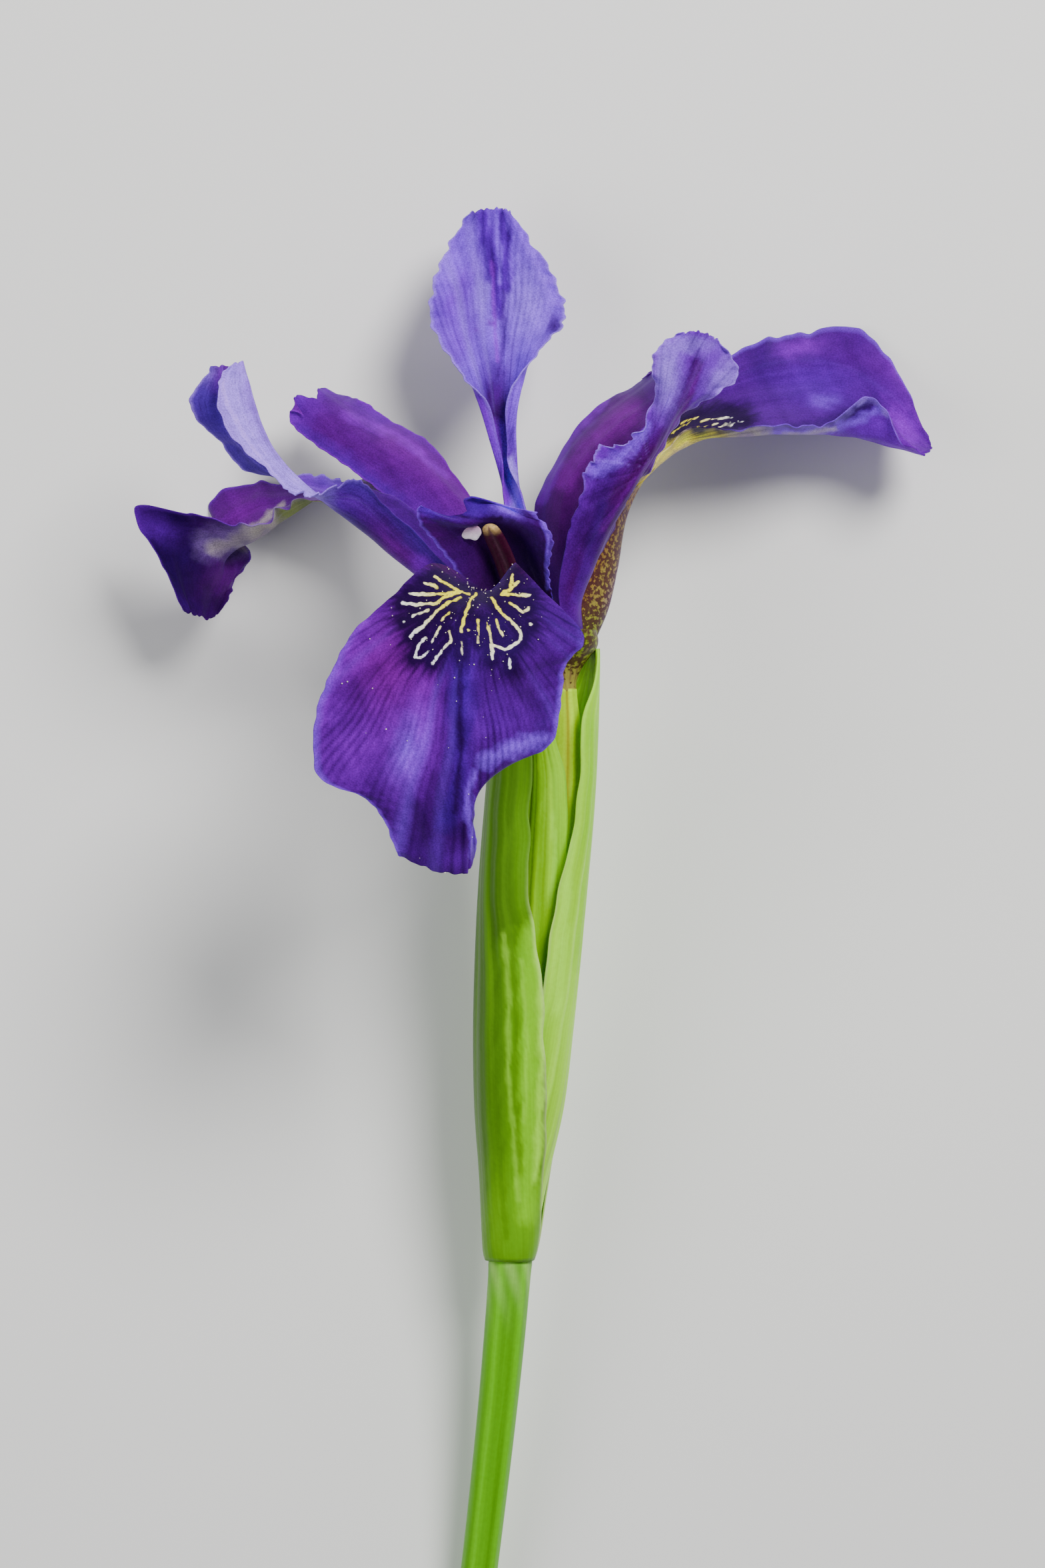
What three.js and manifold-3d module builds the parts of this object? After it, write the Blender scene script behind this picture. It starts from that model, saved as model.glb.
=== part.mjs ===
// A wild iris, cut with its stem and laid on its back: three broad falls that arch out and hang, three
// narrower standards that stand up between them, and three petal-like style arms, each roofing a fall
// and the stamen under it. The petals, arms and stamens grow from a short floral tube on top of the
// ovary, and two green sheaths and a thin inner bract wrap the ovary's stalk on top of the stem.
//
// Millimetres. X runs to the right of the flower's face, Y up the stem and Z to the front, which is up
// for the flower as it lies. Shapes are laid out from the neck between ovary and floral tube, and the
// whole flower is then set down so that the origin is under the middle of its box.
import * as THREE from "three";
import { mergeVertices } from "three/addons/utils/BufferGeometryUtils.js";
import Module from "manifold-3d";

const wasm = await Module();
wasm.setup();

// Colours of the fresh flower.
const VIOLET = 0x4a10a8;
const BRIGHT_VIOLET = 0x5018c0;
const BLUE_VIOLET = 0x3c1896;
const LAVENDER = 0x7a68d8;
const MAGENTA_VIOLET = 0x5a1596;
const POLLEN = 0xa88a50;
const TUBE_BROWN = 0x9a8a3a;
const OVARY_GREEN = 0xb6cc2a;
const GREEN = 0x7fbf10;
const DARK_GREEN = 0x6fae10;
const LIGHT_GREEN = 0xa4d83c;
const PALE_GREEN = 0xb4d850;

// Thickness of a petal at its midrib and at its margin, and of a sheath.
const PETAL_THICK = 0.9;
const MARGIN_THICK = 0.6;
const SHEATH_THICK = 0.7;

// Gap that touching pieces keep.
const GAP = 0.3;

// Sides of the round pieces.
const STEM_SIDES = 16;
const OVARY_SIDES = 14;
const TUBE_SIDES = 20;
const STAMEN_SIDES = 10;

// Rows of points for each stretch of a petal, and columns across each half of it.
const ROWS_A_STRETCH = 2.4;
const HALF_COLUMNS = 6;
const PETAL_COLUMNS = [];
for (let j = -HALF_COLUMNS; j <= HALF_COLUMNS; j++) {
  PETAL_COLUMNS.push(Math.sin((j / HALF_COLUMNS) * (Math.PI / 2)));
}

// How far the bend next to the midrib and next to the margin reaches, as a share of a half's width.
const HANDLE = 0.4;

// The floral tube widens like a trumpet and leans to the left and to the front. Height and radius.
const TUBE_FOOT = new THREE.Vector3(0, 0, 0);
const TUBE_MOUTH = new THREE.Vector3(-1.15, 5.2, 0.75);
const TUBE_RADII = [
  [0, 1.25],
  [1.2, 1.6],
  [2.6, 2.25],
  [3.8, 3.1],
  [4.7, 3.95],
  [5.2, 4.4],
];

// Axis of stem and ovary from the cut end to the neck, height and radius of each.
const AXIS = [
  [-12.6, -124, -22.5],
  [-9.8, -102, -19],
  [-7.6, -82, -15.7],
  [-6.3, -66.5, -13],
  [-5.7, -54, -10.7],
  [-3.5, -38, -7.5],
  [-1.2, -24, -4.7],
  [-0.1, -13, -2.6],
  [0.1, -5, -1],
  [0, 0, 0],
];
const COLLAR_Y = -66.8;
const INNER_SEAT_Y = -63.6;
const BRACT_SEAT_Y = -54.3;
const STEM_RADII = [
  [-124, 2.2],
  [-104, 2.2],
  [-85, 2.35],
  [-72, 2.5],
  [-68.6, 2.6],
  [-67.6, 2.85],
  [COLLAR_Y, 2.9],
  [COLLAR_Y + 0.05, 1.8],
  [INNER_SEAT_Y, 2.3],
  [INNER_SEAT_Y + 0.05, 1.05],
  [-57, 1.2],
  [BRACT_SEAT_Y - 0.6, 1.9],
  [BRACT_SEAT_Y, 1.95],
];
const OVARY_RADII = [
  [BRACT_SEAT_Y + GAP, 1.05],
  [-42, 1.1],
  [-31, 1.35],
  [-25, 1.75],
  [-19, 1.9],
  [-11, 1.9],
  [-5, 1.75],
  [-1.8, 1.4],
  [-GAP, 1.25],
];

// The falls, standards and arms. Every list runs from foot to tip in matching steps, and left and right
// are as seen on the side that faces the flower's middle, with the tip down.
//   midrib, left, right  the middle line and the two margins
//   lobes                how far the middle of each half reaches past the midrib's end
//   waves                height and number of the waves along each margin
//   lip                  where an arm's stigma lip stands: share of its length, and q across it
const PETALS = {
  fall_front: {
    color: VIOLET,
    midrib: [
      [-2.5, 5.9, 4.5], [-5.1, 7.7, 12], [-7.6, 9.2, 20], [-9.4, 9.9, 25.5],
      [-10.7, 7.5, 29.5], [-11.4, 3.3, 31], [-11.7, -1.3, 31.2], [-11.9, -5.5, 31],
      [-11.9, -9.5, 30.5], [-11.7, -13.9, 29.5], [-11.6, -17.5, 28], [-11.6, -20.9, 26],
    ],
    left: [
      [-3.8, 5.9, 4], [-7, 8.6, 11.5], [-10.2, 11.1, 19], [-14.6, 13.2, 24],
      [-18.7, 10, 26.5], [-23.3, 5.8, 27.5], [-25.9, 1.1, 28], [-27.5, -3.4, 27.8],
      [-27.4, -9.9, 27], [-22.3, -12.5, 28], [-19.8, -15.7, 27.5], [-18.4, -19.4, 25.5],
    ],
    right: [
      [-1.3, 5.9, 4.9], [-3.3, 9.1, 12], [-4.5, 11.7, 18], [-5.6, 13.2, 24],
      [-2.1, 9.8, 26], [1.8, 5.2, 25.5], [-0.2, 1.9, 26.5], [-0.7, -2.2, 26.8],
      [-2.3, -7.1, 27], [-9, -9.3, 28.5], [-10.2, -13.6, 28], [-9.9, -19, 26],
    ],
    lobes: [0, 0],
    waves: [0.5, 4.5],
  },
  fall_right: {
    color: BRIGHT_VIOLET,
    midrib: [
      [2.8, 5.9, 0], [4.5, 9.4, -1], [5.7, 14, -2.4], [6.9, 19.9, -3.8],
      [9.8, 25.5, -6], [15, 29.2, -9], [20.9, 30.4, -11.5], [26.9, 30.9, -13.5],
      [32, 30.6, -14.5], [37.1, 29.2, -14.5], [41.9, 27.8, -13.5],
    ],
    left: [
      [2.8, 5.9, 1.3], [2.4, 9.1, 3.1], [3.1, 13.8, 3], [4.9, 19.6, 1.8],
      [9, 24.3, -1], [14.4, 29.7, -4], [20.3, 30.3, -5], [26.1, 30.3, -6],
      [30.9, 31.3, -8], [36, 33.7, -9], [40.1, 28.5, -10],
    ],
    right: [
      [2.5, 5.9, -1.4], [3.9, 9.9, -4.5], [4.5, 14.6, -6.5], [6.8, 22.5, -9],
      [9.8, 29.1, -12], [15.6, 36.5, -16.5], [21.7, 40.6, -20.5], [27.8, 42.9, -24],
      [34.2, 43.3, -24], [39.6, 38.8, -22], [42.8, 30.4, -17],
    ],
    lobes: [1, 1],
    waves: [0.4, 5],
  },
  fall_left: {
    color: VIOLET,
    midrib: [
      [-4.7, 5.9, -1], [-9.2, 10.6, -4], [-15.7, 17.2, -8.5], [-21.4, 22.2, -12],
      [-26.8, 23.8, -15], [-32, 21.2, -17], [-36.1, 18.5, -17.8], [-39.5, 16.4, -17.5],
      [-41.2, 13.6, -15.5], [-42.1, 10.7, -13], [-42.2, 8.5, -11],
    ],
    left: [
      [-4.1, 5.9, -2.2], [-8.7, 11.7, -7], [-15, 19.1, -12], [-20.5, 24.7, -16],
      [-26.9, 24.8, -19], [-32.5, 24.2, -22], [-36.9, 25.4, -24], [-42, 21.7, -24.5],
      [-37.6, 16.3, -22], [-38.8, 12.9, -18], [-40.2, 9, -13.5],
    ],
    right: [
      [-5.3, 5.9, 0.1], [-10.2, 10, -1], [-16.9, 15.8, -4.5], [-22.6, 20.4, -7.5],
      [-28.4, 21.6, -9.5], [-33.4, 21.7, -11], [-36.5, 18.7, -12.5], [-42.2, 20.5, -11],
      [-48.6, 20.2, -10], [-47.4, 14.7, -10], [-44.3, 8.8, -10],
    ],
    lobes: [0, 0],
    waves: [0.6, 5],
  },
  standard_back: {
    color: LAVENDER,
    midrib: [
      [-0.6, 5.9, -3], [-3, 11.8, -5], [-5.1, 18.1, -6.2], [-6.5, 24.7, -8],
      [-7.2, 31, -9.5], [-7.5, 37, -11], [-7.8, 43.4, -12.5], [-8, 49.7, -13.5],
      [-8, 56.6, -14],
    ],
    left: [
      [0.6, 5.9, -2.8], [-1.7, 11.8, -3.9], [-3.7, 17.9, -4.7], [-5.4, 24.6, -5.2],
      [-5.7, 32, -6], [-3.3, 38.7, -8], [0, 43.1, -10], [-1.3, 48.4, -12],
      [-6.4, 56.4, -13.5],
    ],
    right: [
      [-1.7, 5.9, -3.2], [-4.4, 11.8, -4.1], [-6.4, 17.9, -5.1], [-7.5, 24.6, -5.7],
      [-9.7, 32.3, -6], [-12.2, 36.8, -8], [-15.6, 43.1, -10], [-14.6, 49.9, -12],
      [-11.2, 56.1, -13.5],
    ],
    lobes: [0, 0],
    waves: [0.6, 5],
  },
  standard_left: {
    color: LAVENDER,
    midrib: [
      [-5, 5.9, 1.8], [-9.4, 8.6, 4], [-14.1, 11, 6], [-19, 14.5, 7.5],
      [-23.1, 17.9, 8.5], [-27.6, 21.2, 9], [-31.8, 24.8, 9], [-34.6, 28.6, 8],
      [-36.3, 32.4, 6.5], [-37.6, 36.6, 5],
    ],
    left: [
      [-5.3, 5.9, 0.8], [-8.4, 11.6, 0.9], [-13.6, 17, 0.8], [-19.3, 21.4, 1.3],
      [-24.3, 23.6, 2], [-30.5, 23.9, 3], [-36.6, 25.4, 3], [-40.9, 28.9, 3],
      [-42.4, 33, 3], [-40.9, 36.9, 4],
    ],
    right: [
      [-4.7, 5.9, 3], [-9.6, 10.3, 6.5], [-14.6, 14.7, 9.5], [-18.7, 19.1, 11.5],
      [-23.2, 22.6, 12.5], [-28.4, 21.8, 13], [-33.3, 23.3, 12.5], [-37.1, 28.1, 11.5],
      [-39.8, 33.9, 9], [-38.1, 36.6, 7],
    ],
    lobes: [0, 0],
    waves: [0.6, 4.5],
  },
  standard_right: {
    color: LAVENDER,
    midrib: [
      [1, 5.9, 4], [1.1, 9.5, 5.5], [2.5, 13.6, 7.5], [4.4, 18, 10],
      [7, 22.6, 12.5], [9.5, 27.1, 14.5], [11.6, 31.5, 16.5], [13.7, 35.4, 18],
      [15.4, 39.1, 19],
    ],
    left: [
      [0.1, 5.9, 4.7], [-0.8, 10.6, 6.5], [-0.1, 15.4, 9], [1.1, 19.8, 11.5],
      [2.7, 25.1, 13.5], [7.1, 27.9, 14], [10, 31.9, 16], [9.5, 36.6, 18],
      [12.7, 39.3, 19],
    ],
    right: [
      [2, 5.9, 3.3], [1.8, 9.8, 3.2], [3.3, 13.7, 5], [5.4, 18.3, 7.5],
      [8.1, 22.7, 10], [11.3, 27.7, 12], [15, 31.7, 14.5], [19.2, 34.5, 16.5],
      [17.4, 38.3, 18],
    ],
    lobes: [0, 0],
    waves: [0.6, 4.5],
  },
  style_arm_front: {
    color: BLUE_VIOLET,
    midrib: [
      [-1.8, 5.9, 1.6], [-3.7, 10.5, 5.8], [-5.4, 14.1, 10], [-6.7, 17.1, 14],
      [-8.5, 18.6, 17], [-11.1, 19.4, 17.5],
    ],
    left: [
      [-2.4, 5.9, 1.4], [-6.1, 9, 6.5], [-10.3, 10.8, 11], [-13.3, 14.1, 14.5],
      [-16.2, 17.6, 17], [-16.9, 20.2, 18],
    ],
    right: [
      [-1.2, 5.9, 1.8], [-1.4, 9.4, 4.5], [-1.7, 10.9, 8], [-1.9, 13.4, 12],
      [-1.6, 17, 15], [-4.1, 19.5, 17],
    ],
    lobes: [1.3, 1.6],
    waves: [0.3, 2],
    lip: [0.76, -0.35],
  },
  style_arm_right: {
    color: MAGENTA_VIOLET,
    midrib: [
      [0.1, 5.9, 0.5], [-1.1, 10.8, 0.5], [-1.2, 16.2, 0], [-0.5, 22.4, -1.5],
      [2.1, 27.2, -4], [6, 31.2, -6.5], [10.3, 34.5, -8.5], [12.7, 36.9, -9.5],
    ],
    left: [
      [0.2, 5.9, 1.1], [-0.4, 10.4, 2.2], [0.3, 15.4, 1.5], [1.8, 20.4, 0.5],
      [4.4, 25.1, -1], [8.3, 29.1, -3.5], [12.7, 32.6, -6], [14.2, 35.6, -8],
    ],
    right: [
      [-0.1, 5.9, -0.1], [-2.4, 12.5, -2.5], [-3.2, 17.6, -4], [-3, 22.3, -5.5],
      [-0.2, 28.4, -8.5], [4.1, 32.9, -11], [8.1, 36, -13], [11.2, 38.2, -14],
    ],
    lobes: [1.5, 1.5],
    waves: [0.4, 3],
    lip: [0.78, 0],
  },
  style_arm_left: {
    color: MAGENTA_VIOLET,
    midrib: [
      [-2.3, 5.9, 0.2], [-5.2, 11.5, 0], [-9.8, 16.9, -1.5], [-14.8, 23, -4],
      [-19.1, 26.6, -7], [-23.5, 29.5, -10], [-27.1, 32.4, -12.5], [-29, 34.1, -13.8],
    ],
    left: [
      [-2.1, 5.9, -0.4], [-3.7, 13.4, -2.5], [-7.1, 18, -4], [-11.4, 22.7, -6.4],
      [-16.1, 29.2, -11], [-21, 32.1, -14.5], [-24.4, 34.2, -16], [-26.6, 35.5, -17],
    ],
    right: [
      [-2.6, 5.9, 0.7], [-6.6, 9.7, 0.3], [-12.1, 14.8, -1.8], [-17.9, 20.3, -4],
      [-22.2, 23.7, -7], [-27, 26.9, -10], [-31.7, 31.1, -13], [-32.4, 33.6, -14],
    ],
    lobes: [1.6, 1.6],
    waves: [0.4, 3],
    lip: [0.78, 0],
  },
};

// The waves start at this share of a petal's length, past its narrow claw.
const WAVES_FROM = 0.3;
const LOBES_FROM = 0.8;

// The stigma is a small lip on the outside of each arm at the foot of its crest: half width, half
// length and half thickness, and how steeply it stands off.
const LIP_SIZE = new THREE.Vector3(1.3, 1, 0.35);
const LIP_TILT = THREE.MathUtils.degToRad(35);

// The outline that the outer sheath follows, at even heights: centre, half width and half depth.
const WRAP_FOOT = -66.5;
const WRAP_STEP = 9;
const WRAP = [
  { x: -6.42, z: -13, width: 2.55, depth: 2.5 },
  { x: -5.65, z: -11.35, width: 4, depth: 3.75 },
  { x: -4.95, z: -9.6, width: 5.25, depth: 4.8 },
  { x: -4.45, z: -7.8, width: 5.85, depth: 5.3 },
  { x: -3.85, z: -6, width: 6.2, depth: 5.6 },
  { x: -3.25, z: -4.3, width: 6.38, depth: 5.75 },
  { x: -2.55, z: -2.6, width: 6.4, depth: 5.7 },
  { x: -1.95, z: -0.8, width: 6.2, depth: 5.5 },
  { x: -1.5, z: 1, width: 5.9, depth: 5.2 },
];
// The bract's outline, close round the ovary.
const BRACT_FOOT = -54;
const BRACT_STEP = 10;
const BRACT_WRAP = [
  { x: -5.7, z: -10.7, width: 1.65, depth: 1.65 },
  { x: -4.3, z: -8.7, width: 2.25, depth: 2.1 },
  { x: -3.3, z: -6.7, width: 2.7, depth: 2.5 },
  { x: -2.2, z: -4.9, width: 3.1, depth: 2.8 },
  { x: -1.5, z: -2.8, width: 3.25, depth: 2.95 },
  { x: -1, z: -0.8, width: 3.15, depth: 2.85 },
];

// Each sheath: height of foot and tip, how far it runs inside its outline, and the angles of its two
// margins from foot to tip, in degrees round the stem from 0 at the front through 90 at the right.
const SHEATHS = {
  sheath_outer: {
    color: DARK_GREEN,
    outline: { foot: WRAP_FOOT, step: WRAP_STEP, rings: WRAP },
    foot: -66.5,
    tip: 1.7,
    inset: 0,
    from: [-268, -255, -235, -218, -205, -190, -172, -148, -98],
    to: [82, 52, 34, 22, 11, -6, -25, -43, -76],
  },
  sheath_inner: {
    color: LIGHT_GREEN,
    outline: { foot: WRAP_FOOT, step: WRAP_STEP, rings: WRAP },
    foot: -63.3,
    tip: 4.5,
    inset: SHEATH_THICK + GAP,
    from: [-40, -25, -8, 6, 17, 23, 36, 52, 40, 70],
    to: [232, 226, 219, 212, 205, 200, 190, 172, 150, 106],
  },
  bract: {
    color: PALE_GREEN,
    outline: { foot: BRACT_FOOT, step: BRACT_STEP, rings: BRACT_WRAP },
    foot: -54,
    tip: -4,
    inset: 0,
    from: [-250, -232, -212, -196, -180, -152, -112],
    to: [100, 88, 60, 40, 20, -5, -60],
  },
};
const SHEATH_ROWS = 18;
const SHEATH_COLUMNS = 16;

// The stamens, from foot to tip: a thin filament, then a long flat anther. Across is the direction of an
// anther's width.
const FILAMENT_RADIUS = 0.42;
const ANTHER_HALF_WIDTH = 1.05;
const ANTHER_HALF_DEPTH = 0.6;
const ANTHER_FROM = 0.42;
const BLUNT_END = 0.06;
const STAMEN_STATIONS = [0, 0.2, 0.38, 0.45, 0.55, 0.7, 0.85, 0.94, 1];
const STAMENS = {
  stamen_front: {
    across: [0.94, 0, 0.34],
    line: [[-2.1, 5.9, 2.9], [-4.4, 9.3, 7.5], [-6, 11.2, 10.2], [-6.9, 13.5, 12.7], [-8, 15.8, 15.1]],
  },
  stamen_right: {
    across: [0.22, 0, 0.97],
    line: [[1.3, 5.9, 0.2], [1.6, 10.8, -0.8], [2.2, 15.5, -1.6], [3.4, 20.4, -3], [5.6, 24.6, -5]],
  },
  stamen_left: {
    across: [-0.47, 0, 0.88],
    line: [[-3.5, 5.9, -0.4], [-7.4, 11.2, -2.2], [-12.2, 16.3, -5], [-16.8, 21.2, -8], [-20.4, 24.4, -10.2]],
  },
};

const vector = (point) => new THREE.Vector3(...point);

// A smooth curve through points, and the value at share t of a list spread evenly from 0 to 1.
const smooth = (points) => new THREE.CatmullRomCurve3(points.map(vector), false, "catmullrom", 0.5);
const along = (values, t) => smooth(values.map((value, i) => [i, value, 0])).getPoint(t).y;

// A point of a petal's middle surface, and the petal's directions there. t runs from 0 at the foot to 1
// at the tip, and q from -1 at the left margin over 0 at the midrib to 1 at the right margin. Each half
// leaves the midrib square to it.
function petalPoint(petal, t, q) {
  const midrib = smooth(petal.midrib);
  const middle = midrib.getPoint(t);
  const tangent = midrib.getTangent(t);
  const left = smooth(petal.left).getPoint(t);
  const right = smooth(petal.right).getPoint(t);
  const across = right.clone().sub(left);
  across.addScaledVector(tangent, -across.dot(tangent)).normalize();
  const inside = new THREE.Vector3().crossVectors(tangent, across);

  const margin = q < 0 ? left : right;
  const chord = margin.clone().sub(middle);
  const leave = middle.clone().addScaledVector(across, Math.sign(q) * HANDLE * chord.length());
  const arrive = margin.clone().addScaledVector(chord, -HANDLE);
  const late = Math.max(0, (t - LOBES_FROM) / (1 - LOBES_FROM));
  const lobe = petal.lobes[q < 0 ? 0 : 1] * 4 * Math.abs(q) * (1 - Math.abs(q)) * late ** 2;
  const [height, count] = petal.waves;
  const rising = THREE.MathUtils.smoothstep(t, WAVES_FROM, 2 * WAVES_FROM) * Math.abs(q) ** 3;
  const wave = height * rising * Math.sin(2 * Math.PI * count * t + q);
  const point = new THREE.CubicBezierCurve3(middle, leave, arrive, margin)
    .getPoint(Math.abs(q))
    .addScaledVector(tangent, lobe)
    .addScaledVector(inside, wave);
  return { point, tangent, across, inside };
}

// A petal's rows of points from foot to tip, closer together near the margins.
function petalRows(petal) {
  const rowCount = Math.round((petal.midrib.length - 1) * ROWS_A_STRETCH);
  const rows = [];
  for (let i = 0; i <= rowCount; i++) {
    rows.push(PETAL_COLUMNS.map((q) => petalPoint(petal, i / rowCount, q).point));
  }
  return rows;
}

// The middle surface of a sheath as rows of points from one margin to the other.
function sheathRows({ outline, foot, tip, inset, from, to }) {
  const rings = {};
  for (const key of ["x", "z", "width", "depth"]) rings[key] = outline.rings.map((ring) => ring[key]);
  const top = outline.rings.length - 1;
  const rows = [];
  for (let i = 0; i <= SHEATH_ROWS; i++) {
    const t = i / SHEATH_ROWS;
    const y = THREE.MathUtils.lerp(foot, tip, t);
    const height = (y - outline.foot) / outline.step / top;
    const width = along(rings.width, height) - inset;
    const depth = along(rings.depth, height) - inset;
    const row = [];
    for (let j = 0; j <= SHEATH_COLUMNS; j++) {
      const turn = THREE.MathUtils.lerp(along(to, t), along(from, t), j / SHEATH_COLUMNS);
      const angle = THREE.MathUtils.degToRad(turn);
      const x = along(rings.x, height) + width * Math.sin(angle);
      row.push(new THREE.Vector3(x, y, along(rings.z, height) + depth * Math.cos(angle)));
    }
    rows.push(row);
  }
  return rows;
}

// A closed geometry from positions and faces of three or four corners.
function solid(positions, faces) {
  return new THREE.BufferGeometry()
    .setAttribute("position", new THREE.Float32BufferAttribute(positions, 3))
    .setIndex(faces.flatMap(([a, b, c, d]) => (d === undefined ? [a, b, c] : [a, b, c, a, c, d])));
}

// A closed blade round a middle surface, its thickness given for each column.
function blade(rows, thickness) {
  const last = rows.length - 1;
  const edge = thickness.length - 1;
  const positions = [];
  for (const side of [1, -1]) {
    rows.forEach((row, i) =>
      row.forEach((point, j) => {
        const ahead = rows[Math.min(i + 1, last)][j].clone().sub(rows[Math.max(i - 1, 0)][j]);
        const beside = row[Math.min(j + 1, edge)].clone().sub(row[Math.max(j - 1, 0)]);
        const normal = ahead.cross(beside).normalize();
        positions.push(...point.clone().addScaledVector(normal, (side * thickness[j]) / 2));
      }),
    );
  }
  const front = (i, j) => i * (edge + 1) + j;
  const back = (i, j) => front(i, j) + rows.length * (edge + 1);
  const faces = [];
  for (let i = 0; i < last; i++) {
    for (let j = 0; j < edge; j++) {
      faces.push([front(i, j), front(i + 1, j), front(i + 1, j + 1), front(i, j + 1)]);
      faces.push([back(i + 1, j + 1), back(i + 1, j), back(i, j), back(i, j + 1)]);
    }
    faces.push([front(i, 0), back(i, 0), back(i + 1, 0), front(i + 1, 0)]);
    faces.push([front(i, edge), front(i + 1, edge), back(i + 1, edge), back(i, edge)]);
  }
  for (let j = 0; j < edge; j++) {
    faces.push([front(0, j), front(0, j + 1), back(0, j + 1), back(0, j)]);
    faces.push([front(last, j), back(last, j), back(last, j + 1), front(last, j + 1)]);
  }
  return solid(positions, faces);
}

// A closed solid through elliptical rings, each a centre, two half axes and their lengths.
function ringSolid(rings, sides) {
  const positions = [];
  for (const { centre, u, v, a, b } of rings) {
    for (let k = 0; k < sides; k++) {
      const angle = (2 * Math.PI * k) / sides;
      const point = centre.clone().addScaledVector(u, a * Math.cos(angle));
      positions.push(...point.addScaledVector(v, b * Math.sin(angle)));
    }
  }
  const faces = [];
  const at = (ring, k) => ring * sides + (k % sides);
  for (let ring = 0; ring + 1 < rings.length; ring++) {
    for (let k = 0; k < sides; k++) {
      faces.push([at(ring, k), at(ring, k + 1), at(ring + 1, k + 1), at(ring + 1, k)]);
    }
  }
  for (let k = 1; k + 1 < sides; k++) {
    faces.push([at(0, 0), at(0, k + 1), at(0, k)]);
    faces.push([at(rings.length - 1, 0), at(rings.length - 1, k), at(rings.length - 1, k + 1)]);
  }
  return solid(positions, faces);
}

// Level rings of a stem, ovary or tube round a line of centres.
function levelRings(radii, centreAt) {
  const u = new THREE.Vector3(0, 0, 1);
  const v = new THREE.Vector3(1, 0, 0);
  return radii.map(([y, radius]) => ({ centre: centreAt(y), u, v, a: radius, b: radius }));
}

// The point of the stem's and ovary's axis at height y.
function axisAt(y) {
  const above = AXIS.findIndex((point) => point[1] >= y);
  const upper = vector(AXIS[above]);
  const lower = vector(AXIS[Math.max(above - 1, 0)]);
  return upper.lerp(lower, (upper.y - y) / (upper.y - lower.y || 1));
}

// A stamen's rings stand square to its line, round on the filament and flat on the anther, whose two
// ends are blunt.
function stamenGeometry({ line, across }) {
  const curve = smooth(line);
  const rings = [];
  for (const t of STAMEN_STATIONS) {
    const tangent = curve.getTangent(t);
    const u = vector(across).addScaledVector(tangent, -vector(across).dot(tangent)).normalize();
    const v = new THREE.Vector3().crossVectors(tangent, u);
    const share = Math.max(0, (t - ANTHER_FROM) / (1 - ANTHER_FROM));
    const full = share > 0 ? Math.sqrt(Math.max(BLUNT_END, 1 - (2 * share - 1) ** 6)) : 0;
    const a = THREE.MathUtils.lerp(FILAMENT_RADIUS, ANTHER_HALF_WIDTH, full);
    const b = THREE.MathUtils.lerp(FILAMENT_RADIUS, ANTHER_HALF_DEPTH, full);
    rings.push({ centre: curve.getPoint(t), u, v, a, b });
  }
  return ringSolid(rings, STAMEN_SIDES);
}

// Two closed geometries joined into one.
function join(first, second) {
  const solids = [first, second].map((geometry) => {
    const bare = geometry.clone();
    bare.deleteAttribute("normal");
    bare.deleteAttribute("uv");
    const merged = mergeVertices(bare, 1e-4);
    const vertProperties = merged.getAttribute("position").array;
    return new wasm.Manifold(new wasm.Mesh({ numProp: 3, vertProperties, triVerts: merged.index.array }));
  });
  const mesh = solids[0].add(solids[1]).getMesh();
  return new THREE.BufferGeometry()
    .setAttribute("position", new THREE.BufferAttribute(mesh.vertProperties, 3))
    .setIndex(new THREE.BufferAttribute(mesh.triVerts, 1));
}

// The stigma's lip on an arm: a flat ellipsoid that leans off the outside of the arm towards its tip.
function lipGeometry(arm) {
  const { point, tangent, across, inside } = petalPoint(arm, ...arm.lip);
  const reach = tangent.multiplyScalar(Math.cos(LIP_TILT)).addScaledVector(inside, -Math.sin(LIP_TILT));
  const place = new THREE.Matrix4()
    .makeBasis(across, reach, new THREE.Vector3().crossVectors(across, reach))
    .setPosition(point.addScaledVector(reach, 0.7 * LIP_SIZE.y))
    .scale(LIP_SIZE);
  return new THREE.SphereGeometry(1, 10, 6).applyMatrix4(place);
}

const flower = new THREE.Group();

function add(name, geometry, color) {
  geometry.computeVertexNormals();
  const mesh = new THREE.Mesh(geometry, new THREE.MeshStandardMaterial({ color, roughness: 0.6 }));
  mesh.name = name;
  flower.add(mesh);
}

add("stem", ringSolid(levelRings(STEM_RADII, axisAt), STEM_SIDES), GREEN);
add("ovary", ringSolid(levelRings(OVARY_RADII, axisAt), OVARY_SIDES), OVARY_GREEN);
const tubeAt = (y) => TUBE_FOOT.clone().lerp(TUBE_MOUTH, y / TUBE_MOUTH.y);
add("floral_tube", ringSolid(levelRings(TUBE_RADII, tubeAt), TUBE_SIDES), TUBE_BROWN);
for (const [name, sheath] of Object.entries(SHEATHS)) {
  add(name, blade(sheathRows(sheath), Array(SHEATH_COLUMNS + 1).fill(SHEATH_THICK)), sheath.color);
}
for (const [name, petal] of Object.entries(PETALS)) {
  const thickness = PETAL_COLUMNS.map((q) => THREE.MathUtils.lerp(PETAL_THICK, MARGIN_THICK, q * q));
  const geometry = blade(petalRows(petal), thickness);
  add(name, petal.lip ? join(geometry, lipGeometry(petal)) : geometry, petal.color);
}
for (const [name, stamen] of Object.entries(STAMENS)) add(name, stamenGeometry(stamen), POLLEN);

// Set down: the origin under the middle of the box, and the box on the ground.
const box = new THREE.Box3().setFromObject(flower);
const middle = box.getCenter(new THREE.Vector3());
flower.position.set(-middle.x, -middle.y, -box.min.z);

export default flower;
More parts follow.
